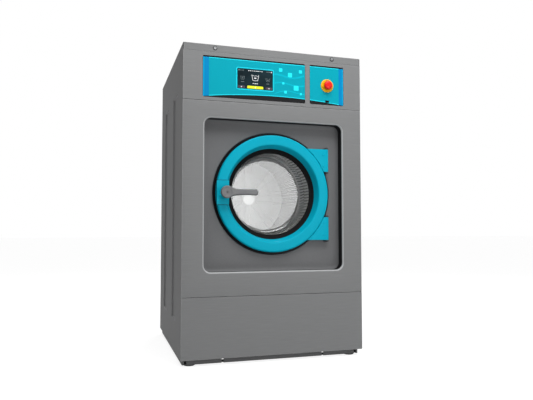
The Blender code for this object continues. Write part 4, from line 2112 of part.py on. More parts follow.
# Water and power
def drain_valve():
    """The dump valve under the tub: flange, body, and an outlet to the side for the hose."""
    top = TUB_BOTTOM_Z - SEAT_GAP
    bottom = top - DRAIN_VALVE_LENGTH
    body = turned(
        [
            (0, bottom),
            (DRAIN_VALVE_RADIUS, bottom),
            (DRAIN_VALVE_RADIUS, top - DRAIN_FLANGE),
            (DRAIN_FLANGE_RADIUS, top - DRAIN_FLANGE),
            (DRAIN_FLANGE_RADIUS, top),
            (DRAIN_OUTLET_RADIUS, top),
            (DRAIN_OUTLET_RADIUS, top - DRAIN_VALVE_LENGTH / 2),
            (0, top - DRAIN_VALVE_LENGTH / 2),
        ],
        SMALL_STEPS,
        closed=False,
    )
    outlet = rod(DRAIN_OUTLET_RADIUS, 0, DRAIN_VALVE_RADIUS + DRAIN_OUTLET_LENGTH, SMALL_STEPS)
    outlet = moved(outlet, z=bottom + DRAIN_OUTLET_RADIUS + DRAIN_FLANGE, turn=math.pi / 2, axis="Y")
    mesh = moved(joined(body, outlet), y=at_depth(DRAIN_DEPTH))
    return finished("drain_valve", mesh, "black_plastic")


def drain_route():
    """The hose's centre line: out of the valve, round to the back and down to the outlet hole."""
    start_z = TUB_BOTTOM_Z - SEAT_GAP - DRAIN_VALVE_LENGTH + DRAIN_OUTLET_RADIUS + DRAIN_FLANGE
    start_x = DRAIN_VALVE_RADIUS + DRAIN_OUTLET_LENGTH + SEAT_GAP
    bend = DRAIN_HOSE_BEND
    y = at_depth(DRAIN_DEPTH)
    points = [(start_x, y, start_z), (start_x + DRAIN_HOSE_LEAD, y, start_z)]
    start_x += DRAIN_HOSE_LEAD
    steps = SMALL_STEPS // 2
    for step in range(1, steps + 1):
        angle = math.pi / 2 * step / steps
        points.append((start_x + bend * math.sin(angle), y + bend * (1 - math.cos(angle)), start_z))
    end_y = at_depth(REAR_PANEL_DEPTH + SKIN + DRAIN_PROUD)
    straight = end_y - y - bend
    for step in range(1, steps + 1):
        share = step / steps
        ease = share * share * (3 - 2 * share)
        z = start_z + (DRAIN_HOSE_REST_Z - start_z) * min(ease * 2, 1.0)
        points.append((DRAIN_HOSE_X, y + bend + straight * share, z))
    return points


def drain_hose():
    """The hose from the valve to the rear, open at its outlet."""
    route = drain_route()
    hose = swept(route, DRAIN_HOSE_RADIUS, DRAIN_HOSE_STEPS)
    bore = rod(DRAIN_HOSE_RADIUS - DRAIN_HOSE_WALL, -DRAIN_PROUD, OVERRUN, DRAIN_HOSE_STEPS)
    bore = moved(bore, *route[-1], -math.pi / 2, "X")
    return finished("drain_hose", cut(hose, bore), "black_rubber")


def heating_element():
    """Three hairpin rods low in the tub on one flange at its back."""
    start = HEATER_START_DEPTH
    centre = DOOR_Z - HEATER_DROP
    half_height = HEATER_FLANGE_HEIGHT / 2
    half = HEATER_LOOP_WIDTH / 2
    half_width = HEATER_HALF_WIDTH
    mesh = block(
        (-half_width, at_depth(start), centre - half_height),
        (half_width, at_depth(start + HEATER_FLANGE_THICKNESS), centre + half_height),
    )
    turns = TUBE_STEPS // 2
    loops = []
    for step in (-1, 0, 1):
        x = step * HEATER_SPACING
        points = [(x - half, start + HEATER_FLANGE_THICKNESS / 2)]
        for bend in range(turns + 1):
            angle = math.pi * bend / turns
            points.append((x - half * math.cos(angle), start - HEATER_LENGTH - half * math.sin(angle)))
        points.append((x + half, start + HEATER_FLANGE_THICKNESS / 2))
        line = [(px, at_depth(depth), centre) for px, depth in points]
        loops.append(swept(line, HEATER_RADIUS, TUBE_STEPS))
    return finished("heating_element", joined(mesh, *loops), "stainless")


def valve_places():
    return [VALVE_LEFT + VALVE_PITCH * step for step in range(VALVE_COUNT)]


def inlet_valve_block():
    """The water valve: a manifold with threaded inlets out through the rear panel and a coil on each way."""
    back = REAR_PANEL_DEPTH - SEAT_GAP
    front = back - VALVE_BODY_DEPTH
    places = valve_places()
    radius = VALVE_BODY_RADIUS
    mesh = block(
        (places[0] - radius, at_depth(front), VALVE_Z - radius),
        (places[-1] + radius, at_depth(back), VALVE_Z + radius),
    )
    additions = []
    for x in places:
        half = VALVE_COIL_WIDTH / 2
        middle = at_depth((front + back) / 2)
        additions.append(
            block(
                (x - half, middle - half, VALVE_Z),
                (x + half, middle + half, VALVE_Z + radius + VALVE_COIL_HEIGHT),
            )
        )
        inlet = turned(
            [
                (0, back - radius),
                (VALVE_INLET_RADIUS, back - radius),
                (VALVE_INLET_RADIUS, REAR_PANEL_DEPTH + SKIN + VALVE_INLET_PROUD),
                (VALVE_INLET_RADIUS / 2, REAR_PANEL_DEPTH + SKIN + VALVE_INLET_PROUD),
                (VALVE_INLET_RADIUS / 2, REAR_PANEL_DEPTH),
                (0, REAR_PANEL_DEPTH),
            ],
            SMALL_STEPS,
            closed=False,
        )
        additions.append(facing_front(inlet, x=x, z=VALVE_Z))
    return finished("inlet_valve_block", joined(mesh, *additions), "brass")


def cable_gland():
    """The cable entry in the rear panel, its nut inside and its dome nut outside, bored through."""
    front = REAR_PANEL_DEPTH - SEAT_GAP
    back = REAR_PANEL_DEPTH + SKIN + SEAT_GAP
    mesh = turned(
        [
            (GLAND_BORE_RADIUS, front - GLAND_NUT_HEIGHT),
            (GLAND_NUT_RADIUS, front - GLAND_NUT_HEIGHT),
            (GLAND_NUT_RADIUS, front),
            (GLAND_RADIUS, front),
            (GLAND_RADIUS, back),
            (GLAND_NUT_RADIUS, back),
            (GLAND_NUT_RADIUS, back + GLAND_NUT_HEIGHT),
            (GLAND_RADIUS, back + GLAND_PROUD),
            (GLAND_BORE_RADIUS, back + GLAND_PROUD),
        ],
        SMALL_STEPS,
    )
    return finished("cable_gland", facing_front(mesh, x=GLAND_X, z=VALVE_Z), "black_plastic")


def build():
    for thing in list(bpy.data.objects):
        bpy.data.objects.remove(thing)
    base_frame()
    body_frame()
    for name, place in FOOT_PLACES.items():
        levelling_foot(name, *place)
    side_panel("left_side_panel", -1)
    side_panel("right_side_panel", 1)
    top_panel()
    upper_front_panel()
    middle_front_panel()
    lower_front_panel()
    rear_panel()
    opening_trim()
    door_surround()
    port_collar()
    door_seal()
    control_backing()
    control_overlay()
    estop_plate()
    touchscreen()
    service_socket_cover()
    control_board_box()
    estop_collar()
    estop_stem()
    estop_head()
    door_ring()
    door_frame()
    door_glass()
    door_gasket()
    handle_plate()
    handle_lever()
    latch_tongue()
    door_lock()
    lock_bolt()
    hinge_block("hinge_block_upper", 1)
    hinge_block("hinge_block_lower", -1)
    hinge_bracket("hinge_bracket_upper", 1)
    hinge_bracket("hinge_bracket_lower", -1)
    tub_shell()
    tub_front()
    tub_back()
    bearing_housing()
    drum_shell()
    drum_front()
    drum_back()
    drum_trunnion()
    drum_pulley()
    drive_belt()
    motor()
    motor_pulley()
    for name, place in SPRING_PLACES.items():
        suspension_spring(name, *place)
    drain_valve()
    drain_hose()
    heating_element()
    inlet_valve_block()
    cable_gland()


build()
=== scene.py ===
"""Looks of the industrial washing machine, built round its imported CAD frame."""
import json
from math import asin, cos, pi, radians, sin, sqrt, tau

import bmesh
import bpy
from mathutils import Matrix, Vector


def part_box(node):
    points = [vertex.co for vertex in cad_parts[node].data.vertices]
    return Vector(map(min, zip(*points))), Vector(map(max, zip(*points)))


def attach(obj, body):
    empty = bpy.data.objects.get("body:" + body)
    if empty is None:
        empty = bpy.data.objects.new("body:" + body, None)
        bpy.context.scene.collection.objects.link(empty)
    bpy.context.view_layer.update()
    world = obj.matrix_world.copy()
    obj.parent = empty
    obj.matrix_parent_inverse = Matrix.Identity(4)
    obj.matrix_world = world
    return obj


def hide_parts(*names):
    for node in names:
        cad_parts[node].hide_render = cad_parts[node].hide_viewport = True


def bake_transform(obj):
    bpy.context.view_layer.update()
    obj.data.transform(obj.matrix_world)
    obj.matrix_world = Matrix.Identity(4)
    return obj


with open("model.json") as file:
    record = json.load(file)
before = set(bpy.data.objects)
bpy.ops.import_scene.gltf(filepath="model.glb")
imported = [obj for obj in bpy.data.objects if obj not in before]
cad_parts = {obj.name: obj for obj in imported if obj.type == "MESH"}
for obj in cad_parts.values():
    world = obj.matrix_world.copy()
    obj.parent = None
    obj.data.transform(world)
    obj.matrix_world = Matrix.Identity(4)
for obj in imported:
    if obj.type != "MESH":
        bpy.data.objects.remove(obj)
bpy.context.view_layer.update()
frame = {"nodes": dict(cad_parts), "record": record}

# Places read from the frame
FRONT_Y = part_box("middle_front_panel")[0].y
RING_LOW, RING_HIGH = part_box("door_ring")
DOOR_Z = (RING_LOW.z + RING_HIGH.z) / 2
RING_R = (RING_HIGH.x - RING_LOW.x) / 2
BODY_OF = {node: body for body, nodes in frame["record"]["behaviour"]["bodies"].items() for node in nodes}

# ---------- materials
SKINS = {}
FRONT_GRAIN = (2, 2, 260)
SIDE_GRAIN = (3, 2, 200)
NOISE_ROUGHNESS = 0.6
RAMP_ENDS = (0.25, 0.75)
BLOTCH_NOISE = (3, 2)
LIGHT_LIFT = 0.01
RELIEF_DETAIL = 3
RELIEF_FINENESS = 2
RELIEF_DEPTH = 0.001
BEVEL_SAMPLES = 4
# Lean of a rounded normal from the true one, and of a face from the main axes: where the painted edge
# highlight starts, and is full
EDGE_HIGHLIGHT_FROM, EDGE_HIGHLIGHT_FULL = 0.97, 0.8
FOLD_HIGHLIGHT_FROM, FOLD_HIGHLIGHT_FULL = 0.985, 0.86
# Colour of a painted highlight when none is given: the material's colour made lighter
HIGHLIGHT_GAIN, HIGHLIGHT_LIFT = 1.6, 0.03
# Painted shade: the near-black colour of the painted holes in the drum
HOLE_SHADE_COLOUR = (0.012, 0.012, 0.013, 1)
HOLE_EDGE = (1.15, 0.8)
HOLE_BUMP, HOLE_DEPTH = 0.6, 0.0015
# Painted shade that darkens the troughs between the ribs of the drum's back
RIB_SHADE_COLOUR = (0.55, 0.55, 0.55, 1)
RIB_SHADE, RIB_BUMP, RIB_DEPTH = 0.85, 0.7, 0.002


class Graph:
    """Adds nodes to a material or world: a socket that is given is linked, and a value is set."""

    def __init__(self, owner):
        owner.use_nodes = True
        self.nodes = owner.node_tree.nodes
        self.links = owner.node_tree.links
        self.shader = self.nodes.get("Principled BSDF")

    def feed(self, node, inputs):
        for key, value in inputs.items():
            if isinstance(value, bpy.types.NodeSocket):
                self.links.new(value, node.inputs[key])
            else:
                node.inputs[key].default_value = value

    def add(self, kind, inputs=None, output=0, **settings):
        node = self.nodes.new("ShaderNode" + kind)
        for key, value in settings.items():
            setattr(node, key, value)
        self.feed(node, inputs or {})
        return node.outputs[output]

    def run(self, operation, *values):
        return self.add("Math", dict(enumerate(values)), operation=operation)

    def most(self, first, second, third):
        return self.run("MAXIMUM", self.run("MAXIMUM", first, second), third)

    def length(self, first, second):
        squares = [self.run("MULTIPLY", value, value) for value in (first, second)]
        return self.run("SQRT", self.run("ADD", *squares))

    def axes(self):
        """X, Y and Z of the place, with Z counted from the door's middle."""
        place = self.add("TexCoord", output="Object")
        x, y, z = [self.add("SeparateXYZ", {"Vector": place}, axis) for axis in "XYZ"]
        return x, y, self.run("SUBTRACT", z, DOOR_Z)

    def span(self, value, start, end, to_end=1, to_start=0):
        ends = {"From Min": start, "From Max": end, "To Min": to_start, "To Max": to_end}
        return self.add("MapRange", {"Value": value, **ends})

    def noise(self, vector, scale, detail, roughness=0.5):
        inputs = {"Vector": vector, "Scale": scale, "Detail": detail, "Roughness": roughness}
        return self.add("TexNoise", inputs)

    def mix(self, share, first, second, blend="MIX"):
        inputs = {"Factor": share, "A": first, "B": second}
        return self.add("Mix", inputs, "Result", data_type="RGBA", blend_type=blend)

    def overlay(self, share, colour, blend, height, strength, distance, invert=False):
        """Lays a colour and a relief over those that the shader has."""
        now = {key: self.shader.inputs[key].links[0].from_socket for key in ("Base Color", "Normal")}
        relief = {"Strength": strength, "Distance": distance, "Height": height, "Normal": now["Normal"]}
        self.feed(self.shader, {
            "Base Color": self.mix(share, now["Base Color"], colour, blend),
            "Normal": self.add("Bump", relief, invert=invert),
        })

    def blend_shaders(self, share, second):
        mixed = self.add("MixShader", {"Fac": share, 1: self.shader.outputs["BSDF"], 2: second})
        self.feed(self.nodes["Material Output"], {"Surface": mixed})

    def looked_at(self):
        """1 on rays from the camera, from a mirror and through glass."""
        kinds = ("Camera", "Glossy", "Transmission")
        return self.most(*[self.add("LightPath", output=f"Is {kind} Ray") for kind in kinds])


def surface(
    name, colour, spread, rough, metallic, scale, detail, bump,
    grain=(1, 1, 1), edge_highlight=0, highlight_colour=None, width=0.0022, fold=0, blotch=0, shine=0.5
):
    """A Principled material whose colour, roughness and bump all come from layered noise; edges rounded
    within the width, and with fold also faces that lean from the main axes, are given a lighter colour as a
    painted highlight.
    """
    SKINS[name] = bpy.data.materials.new(name)
    graph = Graph(SKINS[name])
    place = graph.add("TexCoord", output="Object")
    stretched = graph.add("Mapping", {"Vector": place, "Scale": grain})
    noise = graph.noise(stretched, scale, detail, NOISE_ROUGHNESS)
    dark = [max(0, c * (1 - spread)) for c in colour]
    light = [min(1, c * (1 + spread) + spread * LIGHT_LIFT) for c in colour]
    shown = graph.add("ValToRGB", {"Fac": noise})
    for element, position, tone in zip(shown.node.color_ramp.elements, RAMP_ENDS, (dark, light)):
        element.position = position
        element.color = (*tone, 1)
    if blotch:
        shown = graph.mix(blotch, shown, graph.noise(place, *BLOTCH_NOISE), "MULTIPLY")
    # Painted highlight: a lighter colour on rounded edges, and with fold also on faces that lean from the
    # main axes
    if edge_highlight:
        normal = graph.add("NewGeometry", output="Normal")
        rounded = graph.add("Bevel", {"Radius": width}, samples=BEVEL_SAMPLES)
        facing = graph.add("VectorMath", {0: rounded, 1: normal}, "Value", operation="DOT_PRODUCT")
        share = graph.span(facing, EDGE_HIGHLIGHT_FROM, EDGE_HIGHLIGHT_FULL, edge_highlight)
        if fold:
            parts = [graph.add("SeparateXYZ", {"Vector": normal}, axis) for axis in "XYZ"]
            largest = graph.most(*[graph.run("ABSOLUTE", part) for part in parts])
            share = graph.run("MAXIMUM", share, graph.span(largest, FOLD_HIGHLIGHT_FROM, FOLD_HIGHLIGHT_FULL, fold))
        highlight_tone = highlight_colour or [min(1, c * HIGHLIGHT_GAIN + HIGHLIGHT_LIFT) for c in colour]
        shown = graph.mix(share, shown, (*highlight_tone, 1))
    fine = graph.noise(stretched, scale * RELIEF_FINENESS, RELIEF_DETAIL)
    graph.feed(graph.shader, {
        "Base Color": shown,
        "Metallic": metallic,
        "Specular IOR Level": shine,
        "Roughness": graph.span(noise, 0, 1, rough[1], rough[0]),
        "Normal": graph.add("Bump", {"Strength": bump, "Distance": RELIEF_DEPTH, "Height": fine}),
    })


def pierced(name, count, pitch, hole, low, high, radius=None):
    """Adds a grid of small painted holes about the drum's axis: along the wall, or staggered across a disc;
    each is near black, painted shade for the dark behind it, and sunk by a bump.
    """
    graph = Graph(SKINS[name])
    run = graph.run
    x, y, z = graph.axes()
    turn = run("MULTIPLY", run("ARCTAN2", z, x), count / tau)
    distance = graph.length(x, z)
    line = run("SUBTRACT", y, FRONT_Y) if radius else distance
    width = radius * tau / count if radius else run("MULTIPLY", distance, tau / count)
    shift = 0 if radius else run("MULTIPLY", run("PINGPONG", run("FLOOR", turn), 1), 0.5)
    across = run("MULTIPLY", run("SUBTRACT", run("FRACT", turn), 0.5), width)
    cell = run("FRACT", run("ADD", run("DIVIDE", line, pitch), shift))
    along = run("MULTIPLY", run("SUBTRACT", cell, 0.5), pitch)
    edge = graph.span(graph.length(across, along), *[hole * share for share in HOLE_EDGE])
    inside = run("MULTIPLY", run("GREATER_THAN", line, low), run("LESS_THAN", line, high))
    mask = run("MULTIPLY", edge, inside)
    graph.overlay(mask, HOLE_SHADE_COLOUR, "MIX", mask, HOLE_BUMP, HOLE_DEPTH, invert=True)


def ribbed(name, count):
    """Presses fine ribs into a disc that run out from the drum's axis, and darkens the troughs between them
    with painted shade.
    """
    graph = Graph(SKINS[name])
    x, _, z = graph.axes()
    wave = graph.run("COSINE", graph.run("MULTIPLY", graph.run("ARCTAN2", z, x), count))
    crest = graph.run("MULTIPLY_ADD", wave, 0.5, 0.5)
    share = graph.run("MULTIPLY", graph.run("SUBTRACT", 1, crest), RIB_SHADE)
    graph.overlay(share, RIB_SHADE_COLOUR, "MULTIPLY", crest, RIB_BUMP, RIB_DEPTH)


# Colour, its spread, roughness, metallic share, scale and detail of the noise, bump, and what else is set
# Where a highlight share and colour are set below, rounded edges, and with fold leaning faces, get a painted
# highlight
surface("front_grey", (0.196, 0.199, 0.201), 0.13, (0.46, 0.6), 0, 6, 6, 0.12, FRONT_GRAIN, edge_highlight=0.3,
        highlight_colour=(0.48, 0.485, 0.49), width=0.0035, fold=0.85, shine=0.25)
surface("side_grey", (0.08, 0.081, 0.083), 0.09, (0.48, 0.62), 0, 6, 6, 0.08, SIDE_GRAIN, edge_highlight=0.5,
        highlight_colour=(0.34, 0.34, 0.345), width=0.0035, fold=0.4, shine=0.2)
surface("surround_grey", (0.128, 0.13, 0.134), 0.06, (0.42, 0.55), 0, 220, 3, 0.06, edge_highlight=0.3,
        shine=0.25)
surface("plinth_grey", (0.15, 0.152, 0.154), 0.12, (0.5, 0.65), 0, 6, 5, 0.08, FRONT_GRAIN, edge_highlight=0.5,
        shine=0.2)
surface("dark_paint", (0.024, 0.025, 0.027), 0.25, (0.45, 0.62), 0.1, 180, 3, 0.1, edge_highlight=0.4,
        highlight_colour=(0.13, 0.13, 0.135))
surface("turquoise", (0, 0.385, 0.53), 0.035, (0.38, 0.48), 0, 320, 3, 0.05, shine=0.08, edge_highlight=0.5,
        highlight_colour=(0, 0.68, 0.86))
surface("overlay", (0, 0.35, 0.445), 0.04, (0.34, 0.44), 0, 420, 3, 0.03, shine=0.08, edge_highlight=0.35,
        highlight_colour=(0, 0.8, 0.95))
for skin, colour, spread in (
    ("film_light", (0.02, 0.82, 0.96), 0.03), ("film_soft", (0, 0.455, 0.57), 0.03),
    ("film_blue", (0, 0.235, 0.52), 0.04), ("film_sky", (0, 0.33, 0.61), 0.04),
):
    surface(skin, colour, spread, (0.34, 0.44), 0, 420, 3, 0.03, shine=0.08)
surface("black_plastic", (0.006, 0.006, 0.007), 0.25, (0.4, 0.55), 0, 300, 3, 0.08, shine=0.12)
surface("black_rubber", (0.003, 0.003, 0.0033), 0.3, (0.62, 0.8), 0, 260, 4, 0.16, shine=0.08)
surface("stainless", (0.74, 0.74, 0.735), 0.05, (0.24, 0.36), 0.85, 240, 5, 0.06)
surface("drum_steel", (0.82, 0.82, 0.815), 0.07, (0.34, 0.48), 0.08, 90, 5, 0.12, shine=0.3)
surface("lifter_steel", (0.42, 0.42, 0.42), 0.1, (0.34, 0.48), 0.55, 160, 5, 0.08)
# The drum's wall: a near-white, barely metallic copy of the drum's steel, painted light so that it reads as
# lit
surface("lit_drum_wall", (0.96, 0.96, 0.955), 0.04, (0.26, 0.38), 0.1, 120, 4, 0.05)
pierced("lit_drum_wall", 120, 0.011, 0.0042, 0.15, 0.495, radius=0.3035)
surface("drum_back", (0.74, 0.74, 0.735), 0.1, (0.3, 0.46), 0.06, 40, 6, 0.45, shine=0.3)
ribbed("drum_back", 88)
pierced("drum_back", 180, 0.0088, 0.0034, 0.19, 0.292)
surface("bright_steel", (0.6, 0.6, 0.6), 0.08, (0.2, 0.36), 1, 500, 4, 0.06)
surface("galvanised", (0.42, 0.43, 0.44), 0.16, (0.34, 0.55), 0.9, 42, 5, 0.05, blotch=0.25)
surface("cast_grey", (0.17, 0.17, 0.175), 0.14, (0.5, 0.68), 0.5, 300, 6, 0.35)
surface("cast_aluminium", (0.44, 0.44, 0.45), 0.1, (0.36, 0.52), 0.9, 340, 6, 0.25)
surface("handle_grey", (0.135, 0.137, 0.141), 0.07, (0.3, 0.42), 0.15, 380, 4, 0.08, edge_highlight=0.8,
        highlight_colour=(0.42, 0.42, 0.43), shine=0.3)
surface("warning_yellow", (0.9, 0.46, 0), 0.05, (0.36, 0.48), 0, 300, 3, 0.05, shine=0.15)
surface("signal_red", (0.78, 0.012, 0.008), 0.05, (0.28, 0.38), 0, 300, 3, 0.04, shine=0.25)
surface("spring_steel", (0.075, 0.076, 0.08), 0.2, (0.35, 0.5), 0.7, 400, 4, 0.12)
surface("brass", (0.62, 0.43, 0.18), 0.08, (0.26, 0.42), 1, 260, 4, 0.1)
surface("screen", (0.002, 0.014, 0.02), 0.55, (0.1, 0.18), 0, 14, 2, 0, shine=0.15)
for skin, colour, spread, strength in (
    ("screen_white", (0.62, 0.64, 0.65), 0.05, 0.35), ("screen_grey", (0.14, 0.18, 0.19), 0.05, 0.2),
    ("screen_yellow", (0.7, 0.74, 0), 0.08, 0.25), ("screen_plum", (0.03, 0.014, 0.032), 0.1, 0),
):
    surface(skin, colour, spread, (0.3, 0.4), 0, 300, 2, 0)
    if strength:
        lit = Graph(SKINS[skin])
        lit.feed(lit.shader, {"Emission Color": (*colour, 1), "Emission Strength": strength})
# Shadow rays pass the glass, so that the lamps reach what is behind it
surface("glass", (0.98, 0.99, 0.99), 0.01, (0, 0.02), 0, 20, 2, 0.004)
glass = Graph(SKINS["glass"])
glass.feed(glass.shader, {"Transmission Weight": 1, "IOR": 1.45})
glass.blend_shaders(glass.add("LightPath", output="Is Shadow Ray"), glass.add("BsdfTransparent"))

CORNERS = ("front_left", "front_right", "rear_left", "rear_right")
FEET = [f"{corner}_foot" for corner in CORNERS]
SPRINGS = [f"{corner}_spring" for corner in CORNERS]
NODE_SKINS = {}
for skin, names in {
    "plinth_grey": "base_frame",
    "galvanised": "body_frame rear_panel control_board_box " + " ".join(FEET),
    "side_grey": "left_side_panel right_side_panel",
    "front_grey": "top_panel upper_front_panel middle_front_panel lower_front_panel",
    "black_plastic": "opening_trim port_collar control_backing estop_stem door_lock drain_valve cable_gland",
    "black_rubber": "door_seal service_socket_cover door_gasket drive_belt drain_hose",
    "surround_grey": "door_surround",
    "overlay": "control_overlay estop_plate",
    "screen": "touchscreen",
    "warning_yellow": "estop_collar",
    "signal_red": "estop_head",
    "turquoise": "door_ring handle_plate hinge_block_upper hinge_block_lower",
    "cast_aluminium": "door_frame drum_trunnion",
    "glass": "door_glass",
    "handle_grey": "handle_lever",
    "bright_steel": "latch_tongue lock_bolt motor_pulley",
    "dark_paint": "hinge_bracket_upper hinge_bracket_lower",
    "stainless": "tub_shell tub_front tub_back heating_element",
    "cast_grey": "bearing_housing drum_pulley motor",
    "drum_steel": "drum_shell drum_front drum_back",
    "spring_steel": " ".join(SPRINGS),
    "brass": "inlet_valve_block",
}.items():
    for node_name in names.split():
        NODE_SKINS[node_name] = skin
        node_mesh = frame["nodes"][node_name].data
        node_mesh.materials.clear()
        node_mesh.materials.append(SKINS[skin])


# ---------- building
ROUND = 128
SHARP_ANGLE = 35
WELD_REACH = 2e-6
FLAT_ANGLE = 0.3
CORNER_SHARE = 0.45


def placed(name, data):
    thing = bpy.data.objects.new(name, data)
    bpy.context.scene.collection.objects.link(thing)
    return thing


def piece(name, mesh, skin, body="root", replaced=(), angle=SHARP_ANGLE):
    """A finished, smooth-shaded piece on its body; one that blends between bodies is given none."""
    mesh.materials.clear()
    mesh.materials.append(SKINS[skin])
    mesh.shade_smooth()
    mesh.set_sharp_from_angle(angle=radians(angle))
    thing = placed(name, mesh)
    if body:
        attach(thing, body)
    if replaced:
        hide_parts(*replaced)
    return thing


def eased(thing, width, angle=SHARP_ANGLE, segments=2):
    """Rounds a piece's edges so that they catch the light."""
    bevel = thing.modifiers.new("eased", "BEVEL")
    bevel.width = width
    bevel.segments = segments
    bevel.limit_method = "ANGLE"
    bevel.angle_limit = radians(angle)
    bevel.harden_normals = True
    return thing


def finished_mesh(bm, closed=True):
    if closed:
        bmesh.ops.recalc_face_normals(bm, faces=bm.faces[:])
    mesh = bpy.data.meshes.new("form")
    bm.to_mesh(mesh)
    bm.free()
    return mesh


def dressed(node_name, width=0):
    """The node's own form with welded corners and, given a width, eased edges, in place of the node."""
    bm = bmesh.new()
    bm.from_mesh(frame["nodes"][node_name].data)
    bmesh.ops.remove_doubles(bm, verts=bm.verts[:], dist=WELD_REACH)
    bmesh.ops.dissolve_limit(bm, angle_limit=radians(FLAT_ANGLE), verts=bm.verts[:], edges=bm.edges[:])
    mesh = finished_mesh(bm)
    while mesh.attributes.get("custom_normal"):
        mesh.attributes.remove(mesh.attributes["custom_normal"])
    thing = piece(node_name + "_finish", mesh, NODE_SKINS[node_name], BODY_OF[node_name], [node_name])
    return eased(thing, width) if width else thing


def polar(radius, angle, x=0, z=0):
    return x + radius * cos(angle), z + radius * sin(angle)


def around(count):
    return [tau * i / count for i in range(count)]


def smooth(share):
    return share * share * (3 - 2 * share)


def softened(points, radius, steps, closed=True):
    """Rounds the corners of an outline; radius is one value or one per point."""
    count = len(points)
    made = []
    for i, point in enumerate(points):
        size = radius[i] if isinstance(radius, (list, tuple)) else radius
        if not size or (not closed and i in (0, count - 1)):
            made.append(tuple(point))
            continue
        here = Vector(point)
        before = Vector(points[i - 1]) - here
        after = Vector(points[(i + 1) % count]) - here
        reach = min(size, before.length * CORNER_SHARE, after.length * CORNER_SHARE)
        start = here + before.normalized() * reach
        end = here + after.normalized() * reach
        for step in range(steps + 1):
            t = step / steps
            made.append(tuple(start * (1 - t) ** 2 + here * 2 * t * (1 - t) + end * t ** 2))
    return made


def at_depth(outline, depth):
    return [(x, FRONT_Y + depth, z) for x, z in outline]


def lathe(profile, steps=ROUND, x=0, z=DOOR_Z, closed=True):
    """Turns (radius, depth) points about an axis along the machine's depth."""
    bm = bmesh.new()
    rings = []
    for radius, depth in profile:
        outline = [polar(radius, angle, x, z) for angle in around(steps if radius else 1)]
        rings.append([bm.verts.new(point) for point in at_depth(outline, depth)])
    pairs = list(zip(rings, rings[1:]))
    if closed:
        pairs.append((rings[-1], rings[0]))
    for low, high in pairs:
        for i in range(steps):
            j = (i + 1) % steps
            corners = [low[i % len(low)], low[j % len(low)], high[j % len(high)], high[i % len(high)]]
            unique = list(dict.fromkeys(corners))
            if len(unique) > 2:
                bm.faces.new(unique)
    return finished_mesh(bm)


def upright(mesh, x, y, z):
    """Stands a form that was turned about the depth at the origin up on the vertical axis at a place."""
    turn = Matrix.Rotation(radians(90), 4, "X")
    mesh.transform(Matrix.Translation((x, y, z)) @ turn @ Matrix.Translation((0, -FRONT_Y, 0)))
    return mesh


def loft(rings, closed=False):
    """Skins rings of equally many points; open lofts are capped."""
    bm = bmesh.new()
    made = [[bm.verts.new(point) for point in ring] for ring in rings]
    pairs = list(zip(made, made[1:]))
    if closed:
        pairs.append((made[-1], made[0]))
    for low, high in pairs:
        for i in range(len(low)):
            j = (i + 1) % len(low)
            bm.faces.new((low[i], low[j], high[j], high[i]))
    if not closed:
        bm.faces.new(made[0][::-1])
        bm.faces.new(made[-1])
    return finished_mesh(bm)


def tube(points, sizes, sides, bore=None):
    """A round tube along points with a radius at each; a bore (radius, depth) opens its far end."""
    points = [Vector(point) for point in points]
    last = len(points) - 1
    normal = None
    rings = []
    for i, (point, size) in enumerate(zip(points, sizes)):
        along = (points[min(i + 1, last)] - points[max(i - 1, 0)]).normalized()
        normal = along.orthogonal().normalized() if normal is None else normal
        normal = (normal - along * normal.dot(along)).normalized()
        side = along.cross(normal)
        spokes = [normal * cos(angle) + side * sin(angle) for angle in around(sides)]
        rings.append([point + spoke * size for spoke in spokes])
    for back in (0, bore[1]) if bore else ():
        rings.append([points[-1] - along * back + spoke * bore[0] for spoke in spokes])
    return loft(rings)


def rectangle(half_width, half_height, radius, steps, x=0, z=0):
    """A rounded rectangle of (x, z) points, counter-clockwise from its right side."""
    points = []
    for corner, (sx, sz) in enumerate(((1, 1), (-1, 1), (-1, -1), (1, -1))):
        for step in range(steps + 1):
            angle = radians(90) * (corner + step / steps)
            middle = (x + sx * (half_width - radius), z + sz * (half_height - radius))
            points.append(polar(radius, angle, *middle))
    return points


def slab(outline, front, back):
    return loft([at_depth(outline, front), at_depth(outline, back)])


SCREW_STEPS = 24
WASHER_RISE = 0.0012
SHOULDER, CROWN, CROWN_R, SOCKET_R, SOCKET_FLOOR = 0.3, 0.55, 0.78, 0.45, 0.15


def fastener(name, place, facing, radius, body="root", washer=0, skin="bright_steel"):
    """A domed socket-head screw, seated at a place and facing away from it."""
    seat = WASHER_RISE if washer else 0
    crown = seat + radius * CROWN
    profile = [(washer, 0), (washer, seat)] if washer else [(radius, 0)]
    profile += [(radius, seat), (radius, seat + radius * SHOULDER), (radius * CROWN_R, crown)]
    rings = [[(*polar(size, angle), height) for angle in around(SCREW_STEPS)] for size, height in profile]
    wedge = tau / 6
    for height in (crown, seat + radius * SOCKET_FLOOR):
        ring = []
        for angle in around(SCREW_STEPS):
            size = radius * SOCKET_R * cos(wedge / 2) / cos(angle % wedge - wedge / 2)
            ring.append((*polar(size, angle), height))
        rings.append(ring)
    mesh = loft(rings)
    turn = Vector((0, 0, 1)).rotation_difference(Vector(facing)).to_matrix().to_4x4()
    mesh.transform(Matrix.Translation(place) @ turn)
    return piece(name, mesh, skin, body, angle=30)


# ---------- cabinet
PANEL_LOW, PANEL_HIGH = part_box("middle_front_panel")
PANEL_Z = (PANEL_LOW.z + PANEL_HIGH.z) / 2
PANEL_HALF = (PANEL_HIGH.x, (PANEL_HIGH.z - PANEL_LOW.z) / 2)
OPENING_HALF = (0.304, 0.315)
OPENING_Z = 0.689
OPENING_CORNER = 0.028
PANEL_CORNER = 0.0008
CORNER_STEPS = 10
LIP = 0.008
LIP_STEPS = 8
FRONT_SHEET = 0.0018


